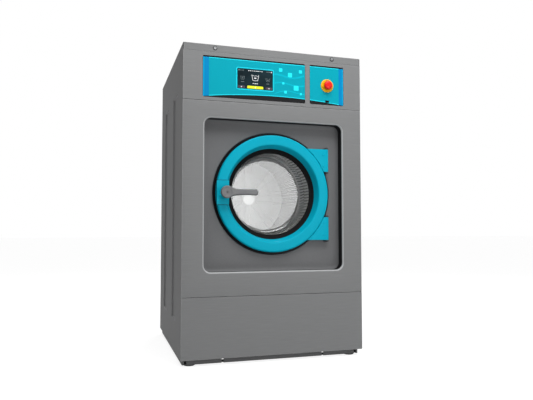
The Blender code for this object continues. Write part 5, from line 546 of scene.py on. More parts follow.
def panel_outline(inset, rise):
    return rectangle(PANEL_HALF[0] - inset, PANEL_HALF[1] - rise, PANEL_CORNER, CORNER_STEPS, z=PANEL_Z)


def opening_outline(growth, steps=CORNER_STEPS):
    half_width, half_height = [half + growth for half in OPENING_HALF]
    return rectangle(half_width, half_height, OPENING_CORNER + growth, steps, z=OPENING_Z)


front_rings = [at_depth(panel_outline(inset, rise), depth) for inset, rise, depth in
               ((0.0043, 0.0019, 0.02), (0.0028, 0.0004, 0.02), (0.0028, 0.0004, 0.0015), (0, 0, 0.0015),
                (0, 0, 0.001), (0.0003, 0.0003, 0.0004), (0.001, 0.001, 0.0001), (0.002, 0.002, 0))]
for step in range(LIP_STEPS + 1):
    x, z = polar(LIP, radians(90) * step / LIP_STEPS)
    front_rings.append(at_depth(opening_outline(LIP - z), LIP - x))
front_rings.append(at_depth(opening_outline(0.0015), LIP))
front_rings.append(at_depth(opening_outline(LIP), FRONT_SHEET))
front_rings.append(at_depth(panel_outline(0.0043, 0.0019), FRONT_SHEET))
piece("front_panel", loft(front_rings, closed=True), "front_grey", "root", ["middle_front_panel"], 40)

for name in ("upper_front_panel", "lower_front_panel", "top_panel"):
    dressed(name, 0.0007)

SIDE_DEPTHS = (0.0018, 0.165, 0.3, 0.48, 0.615, 0.775)
SIDE_HEIGHTS = (0.029, 0.159, 1.137, 1.278, 1.306)
RECESSED = ((1, 1), (1, 3))
RECESS_SLOPE = 0.007
RECESS_DEPTH = 0.0055
FOLD_WIDTH = 0.018
SIDE_SHEET = 0.0015
SIDE_EASE = 0.0014
SIDE_ANGLE = 20


def side_sheet(node_name, side):
    """The folded side sheet with both of its pressed recesses, whose slopes run in from the field's edge."""
    bm = bmesh.new()
    outer = side * PANEL_HALF[0]
    grid = [[bm.verts.new((outer, FRONT_Y + depth, z)) for depth in SIDE_DEPTHS] for z in SIDE_HEIGHTS]

    def face(*corners):
        bm.faces.new(corners if side > 0 else corners[::-1])

    for row in range(len(SIDE_HEIGHTS) - 1):
        for column in range(len(SIDE_DEPTHS) - 1):
            low, high = grid[row], grid[row + 1]
            corners = (low[column], low[column + 1], high[column + 1], high[column])
            if (row, column) not in RECESSED:
                face(*corners)
                continue
            sunk = []
            for corner, (along, rise) in zip(corners, ((1, 1), (-1, 1), (-1, -1), (1, -1))):
                sunk.append(bm.verts.new(
                    corner.co + Vector((-side * RECESS_DEPTH, along * RECESS_SLOPE, rise * RECESS_SLOPE))
                ))
            for i in range(4):
                j = (i + 1) % 4
                face(corners[i], corners[j], sunk[j], sunk[i])
            face(*sunk)
    back = [row[-1] for row in grid[:4]]
    fold = [bm.verts.new(corner.co + Vector((-side * FOLD_WIDTH, 0, 0))) for corner in back]
    for i in range(3):
        face(back[i], fold[i], fold[i + 1], back[i + 1])
    mesh = finished_mesh(bm, closed=False)
    thing = piece(node_name.replace("panel", "sheet"), mesh, "side_grey", "root", [node_name], SIDE_ANGLE)
    wall = thing.modifiers.new("wall", "SOLIDIFY")
    wall.thickness = SIDE_SHEET
    wall.offset = -1
    eased(thing, SIDE_EASE, SIDE_ANGLE, 3)


side_sheet("left_side_panel", -1)
side_sheet("right_side_panel", 1)
for name in """
    rear_panel base_frame body_frame control_backing control_board_box door_lock lock_bolt latch_tongue
    bearing_housing drum_trunnion drum_pulley motor motor_pulley drain_valve heating_element inlet_valve_block
    tub_back tub_shell door_frame port_collar estop_stem hinge_bracket_upper hinge_bracket_lower
""".split():
    dressed(name)

# The black trim in the opening, whose black also stands in for the shade of the gap behind the front panel,
# and the soft-edged plate
trim = [at_depth(opening_outline(growth), depth) for growth, depth in
        ((0.0006, 0.0086), (0.0012, 0.0083), (0.0031, 0.0083), (0.0031, 0.0437), (0.0006, 0.0437))]
piece("shaded_gap_trim", loft(trim, closed=True), "black_plastic", "root", ["opening_trim"], 40)

PORT_STEPS = 31
PORT_COUNT = 4 * (PORT_STEPS + 1)
SURROUND_GROWTH = 0.0028
surround = []
for inset, depth in ((0, 0.0452), (0, 0.0442), (0.0022, 0.0446), (0.0055, 0.0472), (0.0105, 0.049),
                     (0.0155, 0.0498), (0.022, 0.05)):
    surround.append(at_depth(opening_outline(SURROUND_GROWTH - inset, PORT_STEPS), depth))
for radius, depth in ((0.2645, 0.05), (0.2628, 0.0503), (0.2614, 0.0512), (0.261, 0.0525),
                      (0.261, 0.0548), (0.2625, 0.0548), (0.264, 0.0515)):
    port = [polar(radius, tau * (step + 0.5) / PORT_COUNT, 0, DOOR_Z) for step in range(PORT_COUNT)]
    surround.append(at_depth(port, depth))
for inset, depth in ((0.022, 0.0515), (0.0105, 0.0505)):
    surround.append(at_depth(opening_outline(SURROUND_GROWTH - inset, PORT_STEPS), depth))
piece("surround_plate", loft(surround, closed=True), "surround_grey", "root", ["door_surround"], 50)

# Screws of the cabinet
TOP_SCREW_Z = 1.2942
TOP_SCREW_R = 0.0056
SCREW_R = 0.0042
WASHER_R = 0.0062
for index, x in enumerate((-0.2627, 0.2587)):
    ring = [(TOP_SCREW_R, 0.0001), (TOP_SCREW_R, -0.0007), (0.0092, -0.0007), (0.0094, 0.0001)]
    piece(f"top_screw_ring_{index}", lathe(ring, 32, x, TOP_SCREW_Z), "dark_paint")
    fastener(f"top_screw_{index}", (x, FRONT_Y, TOP_SCREW_Z), (0, -1, 0), TOP_SCREW_R, skin="galvanised")
REAR_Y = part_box("rear_panel")[1].y
rear_screws = []
for index in range(6):
    for side, x in (("left", -0.372), ("right", 0.372)):
        rear_screws.append((f"rear_screw_{index}_{side}", x, 0.08 + index * 0.232))
for index, x in enumerate((-0.26, -0.09, 0.09, 0.26)):
    rear_screws.append((f"rear_top_screw_{index}", x, 1.262))
for name, x, z in rear_screws:
    fastener(name, (x, REAR_Y, z), (0, 1, 0), SCREW_R, washer=WASHER_R)

# ---------- door
RING_FACE = 0.027
ring_profile = softened(
    [(RING_R, 0.046), (RING_R, RING_FACE), (0.207, RING_FACE), (0.195, 0.06),
     (0.198, 0.06), (0.2125, RING_FACE + 0.003), (0.247, RING_FACE + 0.003), (0.247, 0.046)],
    [0, 0.01, 0.006, 0.0008, 0, 0, 0, 0], 8
)
piece("ring_cover", lathe(ring_profile), "turquoise", "door", ["door_ring"])

gasket_profile = softened(
    [(0.1982, 0.0608), (0.1985, 0.0846), (0.1845, 0.0846), (0.1843, 0.0814), (0.1933, 0.0812),
     (0.1933, 0.0748), (0.1765, 0.0747), (0.176, 0.0722), (0.182, 0.07), (0.19, 0.065)],
    0.0015, 3
)
piece("gasket_ring", lathe(gasket_profile), "black_rubber", "door", ["door_gasket"])

glass_inner = softened(
    [(0.193, 0.0751), (0.178, 0.0751), (0.1745, 0.14), (0.16, 0.1545), (0.08, 0.1585), (0, 0.16)],
    [0, 0.003, 0.018, 0.01, 0.05, 0], 6, closed=False
)
glass_outer = softened(
    [(0, 0.166), (0.081, 0.1644), (0.1625, 0.1602), (0.1805, 0.1435), (0.184, 0.0811), (0.193, 0.0811)],
    [0, 0.05, 0.012, 0.02, 0.003, 0], 6, closed=False
)
piece("glass_bowl", lathe(glass_inner + glass_outer), "glass", "door", ["door_glass"], 60)

# Boss plate, with black strips of painted shade in the grooves round it
BOSS_LEFT = -0.248
BOSS_RIGHT = -0.1985
BOSS_X = (BOSS_LEFT + BOSS_RIGHT) / 2
BOSS_HALF = (BOSS_RIGHT - BOSS_LEFT) / 2
GROOVE_SHADE_HALF = 0.0009
GROOVE_SHADE_CORNER = 0.0004
dressed("handle_plate", 0.0014)
for index, (x, z, half_width, half_height) in enumerate((
    (BOSS_X, 0.0513, BOSS_HALF, GROOVE_SHADE_HALF), (BOSS_X, -0.0513, BOSS_HALF, GROOVE_SHADE_HALF),
    (BOSS_LEFT, 0, GROOVE_SHADE_HALF, 0.05),
)):
    groove_shade = rectangle(half_width, half_height, GROOVE_SHADE_CORNER, 2, x, DOOR_Z + z)
    piece(f"boss_groove_shade_{index}", slab(groove_shade, RING_FACE - 0.0004, RING_FACE + 0.0006), "black_plastic", "door")

# Lever: a turned hub with a sunk cap, and a waisted, crowned arm
HANDLE_X = -0.211
HUB_FACE = -0.0166
HUB_BACK = HUB_FACE + 0.018
CAP_FACE = HUB_FACE + 0.0012
HUB_STEPS = 64
hub_profile = softened(
    [(0, CAP_FACE), (0.0165, CAP_FACE), (0.018, HUB_FACE), (0.026, HUB_FACE),
     (0.026, HUB_BACK), (0.014, HUB_BACK), (0.014, HUB_BACK + 0.019), (0.007, HUB_BACK + 0.019),
     (0.007, 0.053), (0, 0.053)],
    [0, 0.0008, 0.0008, 0.0075, 0.003, 0.001, 0.001, 0, 0.0008, 0], 6, closed=False
)
ARM_ROUNDING = 0.94
arm_rings = []
for reach, half_width, lift, half_depth in (
    (0, 0.018, 0, 0.0068), (0.012, 0.0195, 0, 0.0068), (0.022, 0.0185, 0, 0.0068),
    (0.03, 0.016, 0, 0.0068), (0.039, 0.0136, 0, 0.0066), (0.05, 0.0123, 0.0003, 0.0065),
    (0.065, 0.0119, 0.001, 0.0064), (0.085, 0.0122, 0.002, 0.0063), (0.105, 0.0129, 0.0027, 0.0061),
    (0.118, 0.0132, 0.003, 0.006), (0.1255, 0.0124, 0.003, 0.0056), (0.1285, 0.0108, 0.003, 0.0048),
    (0.1298, 0.0082, 0.003, 0.0036),
):
    middle = (HUB_FACE + HUB_BACK) / 2 - lift
    section = rectangle(half_width, half_depth, half_depth * ARM_ROUNDING, 6)
    arm_rings.append([(HANDLE_X + reach, FRONT_Y + middle + z, DOOR_Z + x) for x, z in section])
hub = lathe(hub_profile, HUB_STEPS, HANDLE_X, closed=False)
piece("lever_hub", hub, "handle_grey", "handle", ["handle_lever"], 30)
piece("lever_arm", loft(arm_rings), "handle_grey", "handle", ["handle_lever"], 50)
cap_place = (HANDLE_X, FRONT_Y + CAP_FACE, DOOR_Z)
fastener("lever_screw", cap_place, (0, -1, 0), 0.0046, "handle", skin="spring_steel")

HINGE_SCREW_X = 0.228
for name in ("hinge_block_upper", "hinge_block_lower"):
    dressed(name, 0.0012)
    low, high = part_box(name)
    for index, share in enumerate((0.25, 0.75)):
        place = (HINGE_SCREW_X, low.y + 0.0004, low.z + (high.z - low.z) * share)
        fastener(f"{name}_screw_{index}", place, (0, -1, 0), SCREW_R, "door", skin="turquoise")

# ---------- drum
DRUM_R = 0.305
DRUM_BORE = 0.3035
DRUM_FRONT = 0.118
DRUM_BACK = 0.53
DRUM_SHEET = 0.0015
DRUM_STEPS = 192
CONE_DEPTH = 0.08
SPOKES = 8
SPOKE_HEIGHT, SPOKE_SLOPE, SPOKE_HALF, SPOKE_WIDENING = 0.009, 0.005, 0.007, 0.011
LANE_HEIGHT, LANE_OFFSET, LANE_HALF = 0.0035, 0.009, 0.003
RING_RIB_R, RING_RIB_HALF, RING_RIB_HEIGHT = 0.13, 0.011, 0.004
BACK_COUNT = 432
BACK_LINES = 46
BACK_INNER, BACK_OUTER = 0.03, 0.3022


def back_depth(radius, angle):
    """The pressed back: a shallow cone with eight flat-topped spokes, a raised ring and a raised hub."""
    share = min(radius / DRUM_BORE, 1)
    depth = DRUM_BACK - DRUM_SHEET - CONE_DEPTH * (1 - share)
    spacing = tau / SPOKES
    off = (angle + spacing / 2) % spacing - spacing / 2
    across = abs(off) * radius
    half = SPOKE_HALF + SPOKE_WIDENING * share
    spoke = smooth(max(0, min(1, (half + SPOKE_SLOPE - across) / SPOKE_SLOPE)))
    lane = max(0, 1 - abs(across - half - LANE_OFFSET) / LANE_HALF)
    ring = smooth(max(0, 1 - abs(radius - RING_RIB_R) / RING_RIB_HALF))
    swell = sin(pi * share) ** 0.5 if share < 1 else 0
    return depth - (SPOKE_HEIGHT * spoke + LANE_HEIGHT * lane) * swell - RING_RIB_HEIGHT * ring


back_rings = []
radii = [BACK_INNER + (BACK_OUTER - BACK_INNER) * i / BACK_LINES for i in range(BACK_LINES + 1)]
for wall, line in ((0, radii), (DRUM_SHEET, radii[::-1])):
    for radius in line:
        ring = []
        for angle in around(BACK_COUNT):
            x, z = polar(radius, angle, 0, DOOR_Z)
            ring.append((x, FRONT_Y + back_depth(radius, angle) + wall, z))
        back_rings.append(ring)
piece("drum_back_plate", loft(back_rings, closed=True), "drum_back", "drum", ["drum_back"], 60)
hub_cap = softened(
    [(0, 0.4425), (0.028, 0.4435), (0.0345, 0.449), (0.0345, 0.453), (0, 0.453)],
    [0, 0.006, 0.002, 0, 0], 5, closed=False
)
piece("drum_hub_cap", lathe(hub_cap, HUB_STEPS, closed=False), "drum_steel", "drum")

wrapper = [(DRUM_BORE, DRUM_FRONT), (DRUM_R, DRUM_FRONT), (DRUM_R, DRUM_BACK), (DRUM_BORE, DRUM_BACK)]
piece("drum_wrapper", lathe(wrapper, DRUM_STEPS), "lit_drum_wall", "drum", ["drum_shell"], 35)
ROLL_R, ROLL_STEPS = 0.0064, 10
rolled_edge = [polar(ROLL_R, angle, 0.297, 0.506) for angle in around(ROLL_STEPS)]
piece("drum_rolled_edge", lathe(rolled_edge, DRUM_STEPS), "drum_steel", "drum", angle=80)
front_line = softened(
    [(0.2, 0.122), (0.2, 0.115), (0.208, 0.114), (0.2935, 0.128), (0.3005, 0.136),
     (0.3005, 0.144), (0.299, 0.144), (0.299, 0.137), (0.2925, 0.1295), (0.208, 0.1157),
     (0.2017, 0.1165), (0.2017, 0.122)],
    0.004, 4
)
piece("drum_front_plate", lathe(front_line, DRUM_STEPS), "drum_steel", "drum", ["drum_front"], 40)

LIFTER_HEIGHT = 0.062
LIFTER_HALF = 0.04
LIFTER_FRONT = 0.178
LIFTER_LENGTH = 0.322
LIFTER_SEAT = 0.3033
LIFTER_STEPS = 24
for index in range(2):
    sections = []
    for share, rise in ((0, 0.05), (0.015, 0.42), (0.05, 0.72), (0.12, 0.92), (0.25, 1), (0.5, 1),
                        (0.75, 1), (0.88, 0.92), (0.95, 0.72), (0.985, 0.42), (1, 0.05)):
        outline = []
        for step in range(LIFTER_STEPS + 1):
            angle = pi * step / LIFTER_STEPS
            across = LIFTER_HALF * cos(angle)
            height = LIFTER_HEIGHT * rise * sin(angle) ** 0.8
            outline.append((across, sqrt(LIFTER_SEAT ** 2 - across ** 2) - height))
        outline.append((0, LIFTER_SEAT))
        sections.append(at_depth(outline, LIFTER_FRONT + LIFTER_LENGTH * share))
    mesh = loft(sections)
    turn = Matrix.Rotation(radians(180 * index), 4, "Y")
    mesh.transform(Matrix.Translation((0, 0, DOOR_Z)) @ turn)
    piece(f"lifter_{index}", mesh, "lifter_steel", "drum", angle=50)

# ---------- seal, springs, belt and hose
seal_line = [
    (0.2122, 0.0593), (0.214, 0.06), (0.2152, 0.0625), (0.2152, 0.069), (0.2165, 0.0712), (0.223, 0.0722),
    (0.2248, 0.074), (0.2236, 0.0758), (0.216, 0.0768), (0.2142, 0.0788), (0.2125, 0.0808), (0.212, 0.085),
    (0.212, 0.096), (0.2094, 0.096), (0.2094, 0.084), (0.21, 0.0795), (0.2122, 0.0764), (0.215, 0.0746),
    (0.2205, 0.074), (0.215, 0.0733), (0.213, 0.0712), (0.2125, 0.064), (0.211, 0.0612),
]
mesh = lathe(softened(seal_line, 0.0008, 2), 96)
seal = piece("seal_bellows", mesh, "black_rubber", None, ["door_seal"], 60)
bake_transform(seal)

tub_front_line = softened(
    [(0.205, 0.092), (0.205, 0.1), (0.215, 0.1067), (0.357, 0.1067), (0.357, 0.1097),
     (0.214, 0.1097), (0.208, 0.101), (0.208, 0.092)],
    0.003, 3
)
piece("tub_front_plate", lathe(tub_front_line), "stainless", "tub", ["tub_front"], 40)

SPRING_R = 0.028
SPRING_SEAT = 0.005
SPRING_WIRE = 0.0048
SPRING_TURNS = 4
TURN_STEPS = 28
for name in SPRINGS:
    low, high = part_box(name)
    x = (low.x + high.x) / 2
    y = (low.y + high.y) / 2
    bottom = low.z + SPRING_SEAT
    top = high.z - SPRING_SEAT
    line = []
    for step in range(SPRING_TURNS * TURN_STEPS + 1):
        turn = step / TURN_STEPS
        share = min(max((turn - 0.5) / (SPRING_TURNS - 1), 0), 1)
        line.append((*polar(SPRING_R, tau * turn, x, y), bottom + (top - bottom) * share))
    mesh = tube(line, [SPRING_WIRE] * len(line), 14)
    coil = piece(f"{name}_coil", mesh, "spring_steel", None, [name], 60)
    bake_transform(coil)


BELT_FRONT = 0.699
BELT_WIDTH = 0.02
BELT_BACK = 0.0055
BELT_RIBS = (0.0008, 0.002)
PULLEY_R = 0.19045
MOTOR_PULLEY_R = 0.0353
SHAFTS_APART = 0.462


def belt_line(growth):
    """The belt's path round both pulleys, seen along their shafts, in (x, z)."""
    lean = asin((PULLEY_R - MOTOR_PULLEY_R) / SHAFTS_APART)
    points = []
    for radius, start, sweep, steps, z in (
        (PULLEY_R, -lean, pi + 2 * lean, 64, DOOR_Z),
        (MOTOR_PULLEY_R, pi + lean, pi - 2 * lean, 24, DOOR_Z - SHAFTS_APART),
    ):
        points += [polar(radius + growth, start + sweep * i / steps, 0, z) for i in range(steps + 1)]
    return points


belt_section = [(BELT_BACK, 0), (BELT_BACK, BELT_WIDTH)]
for tooth in range(13):
    belt_section.append((BELT_RIBS[tooth % 2], BELT_WIDTH - BELT_WIDTH * tooth / 12))
belt_rings = [at_depth(belt_line(growth), BELT_FRONT + place) for growth, place in belt_section]
piece("ribbed_belt", loft(belt_rings, closed=True), "black_rubber", "tub", ["drive_belt"], 30)

# The hose leaves the valve, bends to the back and falls to its outlet, with ribs between smooth cuffs
HOSE_LOW, HOSE_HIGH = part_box("drain_hose")
HOSE_R = 0.034
HOSE_WALL_GAP = 0.0006
HOSE_STEPS = 320
HOSE_RIB, HOSE_RIB_PITCH = 0.0016, 0.0085
HOSE_CUFFS = (0.03, 0.11)
HOSE_BORE = (0.03, 0.064)
HOSE_START_Z = HOSE_HIGH.z - HOSE_R
HOSE_END_Z = 0.178
HOSE_START_DEPTH = 0.285
HOSE_BEND = 0.0677
BEND_STEPS, FALL_STEPS = 12, 59
hose_end = (HOSE_HIGH.x - HOSE_R, HOSE_HIGH.y)
hose_start = (HOSE_LOW.x, FRONT_Y + HOSE_START_DEPTH)
corner_x = hose_end[0] - HOSE_BEND
route = [Vector((*hose_start, 0))]
for step in range(BEND_STEPS + 1):
    angle = radians(90) * step / BEND_STEPS
    y = hose_start[1] + HOSE_BEND * (1 - cos(angle))
    route.append(Vector((corner_x + HOSE_BEND * sin(angle), y, 0)))
bend_end = route[-1].y
for step in range(1, FALL_STEPS + 1):
    route.append(Vector((hose_end[0], bend_end + (hose_end[1] - bend_end) * step / FALL_STEPS, 0)))
for point in route:
    share = max(0, (point.y - bend_end) / (hose_end[1] - bend_end))
    point.z = HOSE_START_Z + (HOSE_END_Z - HOSE_START_Z) * min(smooth(share) * 2, 1)
walked = [0]
for first, second in zip(route, route[1:]):
    walked.append(walked[-1] + (second - first).length)
hose_points = []
hose_sizes = []
for step in range(HOSE_STEPS + 1):
    reach = walked[-1] * step / HOSE_STEPS
    index = max(i for i, value in enumerate(walked[:-1]) if value <= reach + 1e-9)
    part = (reach - walked[index]) / (walked[index + 1] - walked[index])
    hose_points.append(route[index].lerp(route[index + 1], min(part, 1)))
    groove = 0
    if HOSE_CUFFS[0] < reach < walked[-1] - HOSE_CUFFS[1]:
        groove = HOSE_RIB * (0.5 + 0.5 * cos(tau * reach / HOSE_RIB_PITCH))
    hose_sizes.append(HOSE_R - HOSE_WALL_GAP - groove)
mesh = tube(hose_points, hose_sizes, 32, HOSE_BORE)
hose = piece("ribbed_hose", mesh, "black_rubber", None, ["drain_hose"], 60)
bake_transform(hose)

# ---------- controls
for name in ("control_overlay", "estop_plate"):
    dressed(name, 0.0003)
dressed("touchscreen", 0.0004)
FILM_FRONT = 0.00038
FILM_BACK = 0.00065
LINE_HEIGHT = 0.0026
TOP_Z = 1.2549
FOOT_Z = 1.0911
ARC_RISE, ARC_HALF, ARC_STEPS = 0.02, 0.314, 24


def foot_z(x):
    return FOOT_Z + ARC_RISE * (1 - (x / ARC_HALF) ** 2)


def film(name, outline, skin, lift=0):
    return piece(name, slab(outline, FILM_FRONT - lift, FILM_BACK), skin)


def field(left, right, height=None):
    """A part of a facia between two upright edges; its foot, or its foot and head, follow the arc."""
    xs = [left + (right - left) * i / ARC_STEPS for i in range(ARC_STEPS + 1)]
    foot = [(x, foot_z(x)) for x in xs]
    if height is None:
        return foot + [(right, TOP_Z), (left, TOP_Z)]
    return foot + [(x, foot_z(x) + height) for x in reversed(xs)]


def strip(line, width):
    """The outline of an open line drawn with a width."""
    left, right = [], []
    for i, point in enumerate(line):
        before = Vector(line[max(i - 1, 0)])
        after = Vector(line[min(i + 1, len(line) - 1)])
        along = (after - before).normalized()
        side = Vector((-along.y, along.x)) * width / 2
        left.append((point[0] + side.x, point[1] + side.y))
        right.append((point[0] - side.x, point[1] - side.y))
    return left + right[::-1]


for name, tone, left, right in (
    ("facia", "sky", -0.3123, -0.3066), ("facia", "blue", -0.3066, -0.2876),
    ("plate", "blue", 0.2908, 0.3066), ("plate", "sky", 0.3066, 0.3123),
):
    film(f"{name}_{tone}_stripe", field(left, right), f"film_{tone}")
for name, left, right in (("facia", -0.2876, 0.1323), ("plate", 0.1557, 0.2908)):
    film(f"{name}_foot_line", field(left, right, LINE_HEIGHT), "film_light")
    low_z = TOP_Z - LINE_HEIGHT
    film(f"{name}_head_line", [(left, low_z), (right, low_z), (right, TOP_Z), (left, TOP_Z)], "film_light")

SCREEN_LOW, SCREEN_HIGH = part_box("touchscreen")
SCREEN_X = (SCREEN_LOW.x + SCREEN_HIGH.x) / 2
SCREEN_Z = (SCREEN_LOW.z + SCREEN_HIGH.z) / 2
SCREEN_HALF = (0.0768, 0.042)
SCREEN_CORNER = 0.002
# A light cyan band round the screen window: a painted highlight on the bezel's edge
BEZEL_HIGHLIGHT_INNER, BEZEL_HIGHLIGHT_OUTER = 0.003, 0.0052
bezel_highlight = []
for growth, depth in (
    (BEZEL_HIGHLIGHT_OUTER, FILM_FRONT), (BEZEL_HIGHLIGHT_OUTER, FILM_BACK), (BEZEL_HIGHLIGHT_INNER, FILM_BACK), (BEZEL_HIGHLIGHT_INNER, FILM_FRONT)
):
    half_width, half_height = [half + growth for half in SCREEN_HALF]
    band = rectangle(half_width, half_height, SCREEN_CORNER + growth, 5, SCREEN_X, SCREEN_Z)
    bezel_highlight.append(at_depth(band, depth))
piece("screen_bezel_highlight", loft(bezel_highlight, closed=True), "film_light")

# A plain pattern of swelling bands and rounded squares beside the screen
BAND_STEPS = 40
BAND_LEFT, BAND_LENGTH = -0.0045, 0.1335
BAND_Z, BAND_PITCH, BAND_RISE = 1.123, 0.037, 0.014
WAVE_HEIGHT, WAVE_SWEEP, WAVE_SHIFT = 0.01, 4.4, 0.9
for index in range(3):
    line = []
    for share in [step / BAND_STEPS for step in range(BAND_STEPS + 1)]:
        wave = WAVE_HEIGHT * sin(share * WAVE_SWEEP + index * WAVE_SHIFT)
        line.append((BAND_LEFT + BAND_LENGTH * share, BAND_Z + BAND_PITCH * index + wave + BAND_RISE * share))
    film(f"facia_band_{index}", strip(line, 0.0042 + 0.0016 * index), "film_soft")
for index, (x, z, half) in enumerate((
    (0.022, 1.227, 0.0078), (0.044, 1.133, 0.006), (0.064, 1.208, 0.0095), (0.092, 1.153, 0.011),
    (0.112, 1.226, 0.007), (0.034, 1.17, 0.0048), (0.114, 1.129, 0.0048),
)):
    film(f"facia_square_{index}", rectangle(half, half, half * 0.35, 5, x, z), "film_light", 0.0001)

# Plain shapes on the screen
SCREEN_FACE = SCREEN_LOW.y - FRONT_Y
SHAPE_RISE, SHAPE_SINK = 0.00018, 0.0001


def on_screen(name, outline, skin, lift=0):
    return piece(name, slab(outline, SCREEN_FACE - SHAPE_RISE - lift, SCREEN_FACE + SHAPE_SINK), skin)


def tub_sign(name, x, z, size, skin):
    """A wash tub: two sides and a floor, with water in it and a bar for its setting."""
    sides = [(-0.015, 0.013), (-0.0138, 0.006), (-0.0105, -0.011), (0, -0.0118), (0.0105, -0.011),
             (0.0138, 0.006), (0.015, 0.013)]
    shares = [i / 16 for i in range(17)]
    water = [(-0.0128 + 0.0256 * share, 0.0088 + 0.0016 * sin(share * tau * 2)) for share in shares]
    for part, line, width in (("tub", sides, 0.0018), ("water", water, 0.0013)):
        path = [(x + u * size, z + v * size) for u, v in line]
        on_screen(f"{name}_{part}", strip(path, width * size), skin)
    bar = rectangle(0.0048 * size, 0.0024 * size, 0.001 * size, 3, x, z - 0.001 * size)
    on_screen(f"{name}_bar", bar, skin)


GREY, WHITE, PLUM, YELLOW = "screen_grey", "screen_white", "screen_plum", "screen_yellow"
tub_sign("screen_middle", SCREEN_X, SCREEN_Z + 0.006, 1, WHITE)
tub_sign("screen_left", SCREEN_X - 0.055, SCREEN_Z + 0.003, 0.58, GREY)
tub_sign("screen_right", SCREEN_X + 0.055, SCREEN_Z + 0.001, 0.58, GREY)
marks = [
    (-0.071, 0.0355, 0.0035, 0.0018, GREY), (-0.062, 0.0352, 0.003, 0.001, GREY),
    (-0.053, 0.0352, 0.004, 0.001, GREY), (0.052, 0.0352, 0.0035, 0.001, GREY),
    (0.061, 0.0352, 0.0028, 0.0014, GREY), (0.071, 0.0355, 0.003, 0.002, WHITE),
    (-0.055, -0.0135, 0.0065, 0.0009, GREY), (0.055, -0.0155, 0.0065, 0.0009, GREY),
    (0, -0.018, 0.0035, 0.0016, WHITE), (-0.0085, -0.018, 0.003, 0.0012, WHITE),
    (0.0085, -0.018, 0.003, 0.0012, WHITE),
    (-0.06, -0.035, 0.015, 0.0052, PLUM), (0.06, -0.035, 0.015, 0.0052, PLUM),
    (0, -0.0345, 0.035, 0.0056, YELLOW),
]
BAR_X, BAR_PITCH = -0.029, 0.0083
for i, width in enumerate((0.0026, 0.004, 0.0018, 0.0034, 0.0028, 0.0042, 0.0022, 0.0032)):
    marks.append((BAR_X + BAR_PITCH * i, 0.0352, width * 0.9, 0.0013, WHITE))
for index, (x, z, half_width, half_height, skin) in enumerate(marks):
    corner = min(half_width, half_height) * 0.5
    mark = rectangle(half_width, half_height, corner, 3, SCREEN_X + x, SCREEN_Z + z)
    on_screen(f"screen_mark_{index}", mark, skin)
DIAMOND_HALF, DIAMOND_Z = 0.003, -0.035
for index, x in enumerate((-0.06, 0, 0.06)):
    diamond = []
    for u, v in ((1, 0), (0, 1), (-1, 0), (0, -1)):
        diamond.append((SCREEN_X + (x + u * DIAMOND_HALF), SCREEN_Z + (DIAMOND_Z + v * DIAMOND_HALF)))
    on_screen(f"screen_diamond_{index}", diamond, WHITE, 0.0001)

# Emergency stop and the rubber cover of the service socket
ESTOP_X = 0.2353
ESTOP_Z = 1.174
ESTOP_STEPS = 72
MARK_R, MARK_SWEEP = 0.024, 52
collar = softened(
    [(0.0117, 0.03), (0.0117, -0.0028), (0.0165, -0.0042), (0.0255, -0.0042), (0.029, -0.002),
     (0.029, 0.0003), (0.0145, 0.0003), (0.0145, 0.03)],
    [0, 0.0008, 0.001, 0.002, 0.002, 0, 0, 0], 4
)
mesh = lathe(collar, ESTOP_STEPS, ESTOP_X, ESTOP_Z)
piece("stop_collar", mesh, "warning_yellow", "root", ["estop_collar"], 40)
for index in range(3):
    middle = radians(90 + 120 * index)
    turns = [middle + radians(MARK_SWEEP * (i / 8 - 0.5)) for i in range(9)]
    line = [polar(MARK_R, angle, ESTOP_X, ESTOP_Z) for angle in turns]
    piece(f"stop_mark_{index}", slab(strip(line, 0.0013), -0.0044, -0.0041), "dark_paint")
head_line = softened(
    [(0, -0.0227), (0.01, -0.0224), (0.0165, -0.0203), (0.019, -0.0168), (0.019, -0.0128),
     (0.0165, -0.0094), (0.0118, -0.0092), (0.0064, -0.0092), (0.0064, -0.0155), (0, -0.0155)],
    [0, 0.004, 0.003, 0.003, 0.002, 0.001, 0, 0, 0, 0], 5, closed=False
)
head = lathe(head_line, ESTOP_STEPS, ESTOP_X, ESTOP_Z, closed=False)
piece("stop_head", head, "signal_red", "estop_knob", ["estop_head"], 40)
COVER_LOW, COVER_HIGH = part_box("service_socket_cover")
cover_x = (COVER_LOW.x + COVER_HIGH.x) / 2
cover_z = (COVER_LOW.z + COVER_HIGH.z) / 2
cover = slab(rectangle(0.009, 0.0045, 0.0016, 5, cover_x, cover_z), -0.0006, 0.0018)
eased(piece("socket_flap", cover, "black_rubber", "root", ["service_socket_cover"]), 0.0005)
tab = slab(rectangle(0.003, 0.0012, 0.0006, 4, cover_x, cover_z - 0.0022), -0.00122, -0.0004)
eased(piece("socket_flap_tab", tab, "black_rubber"), 0.0003)

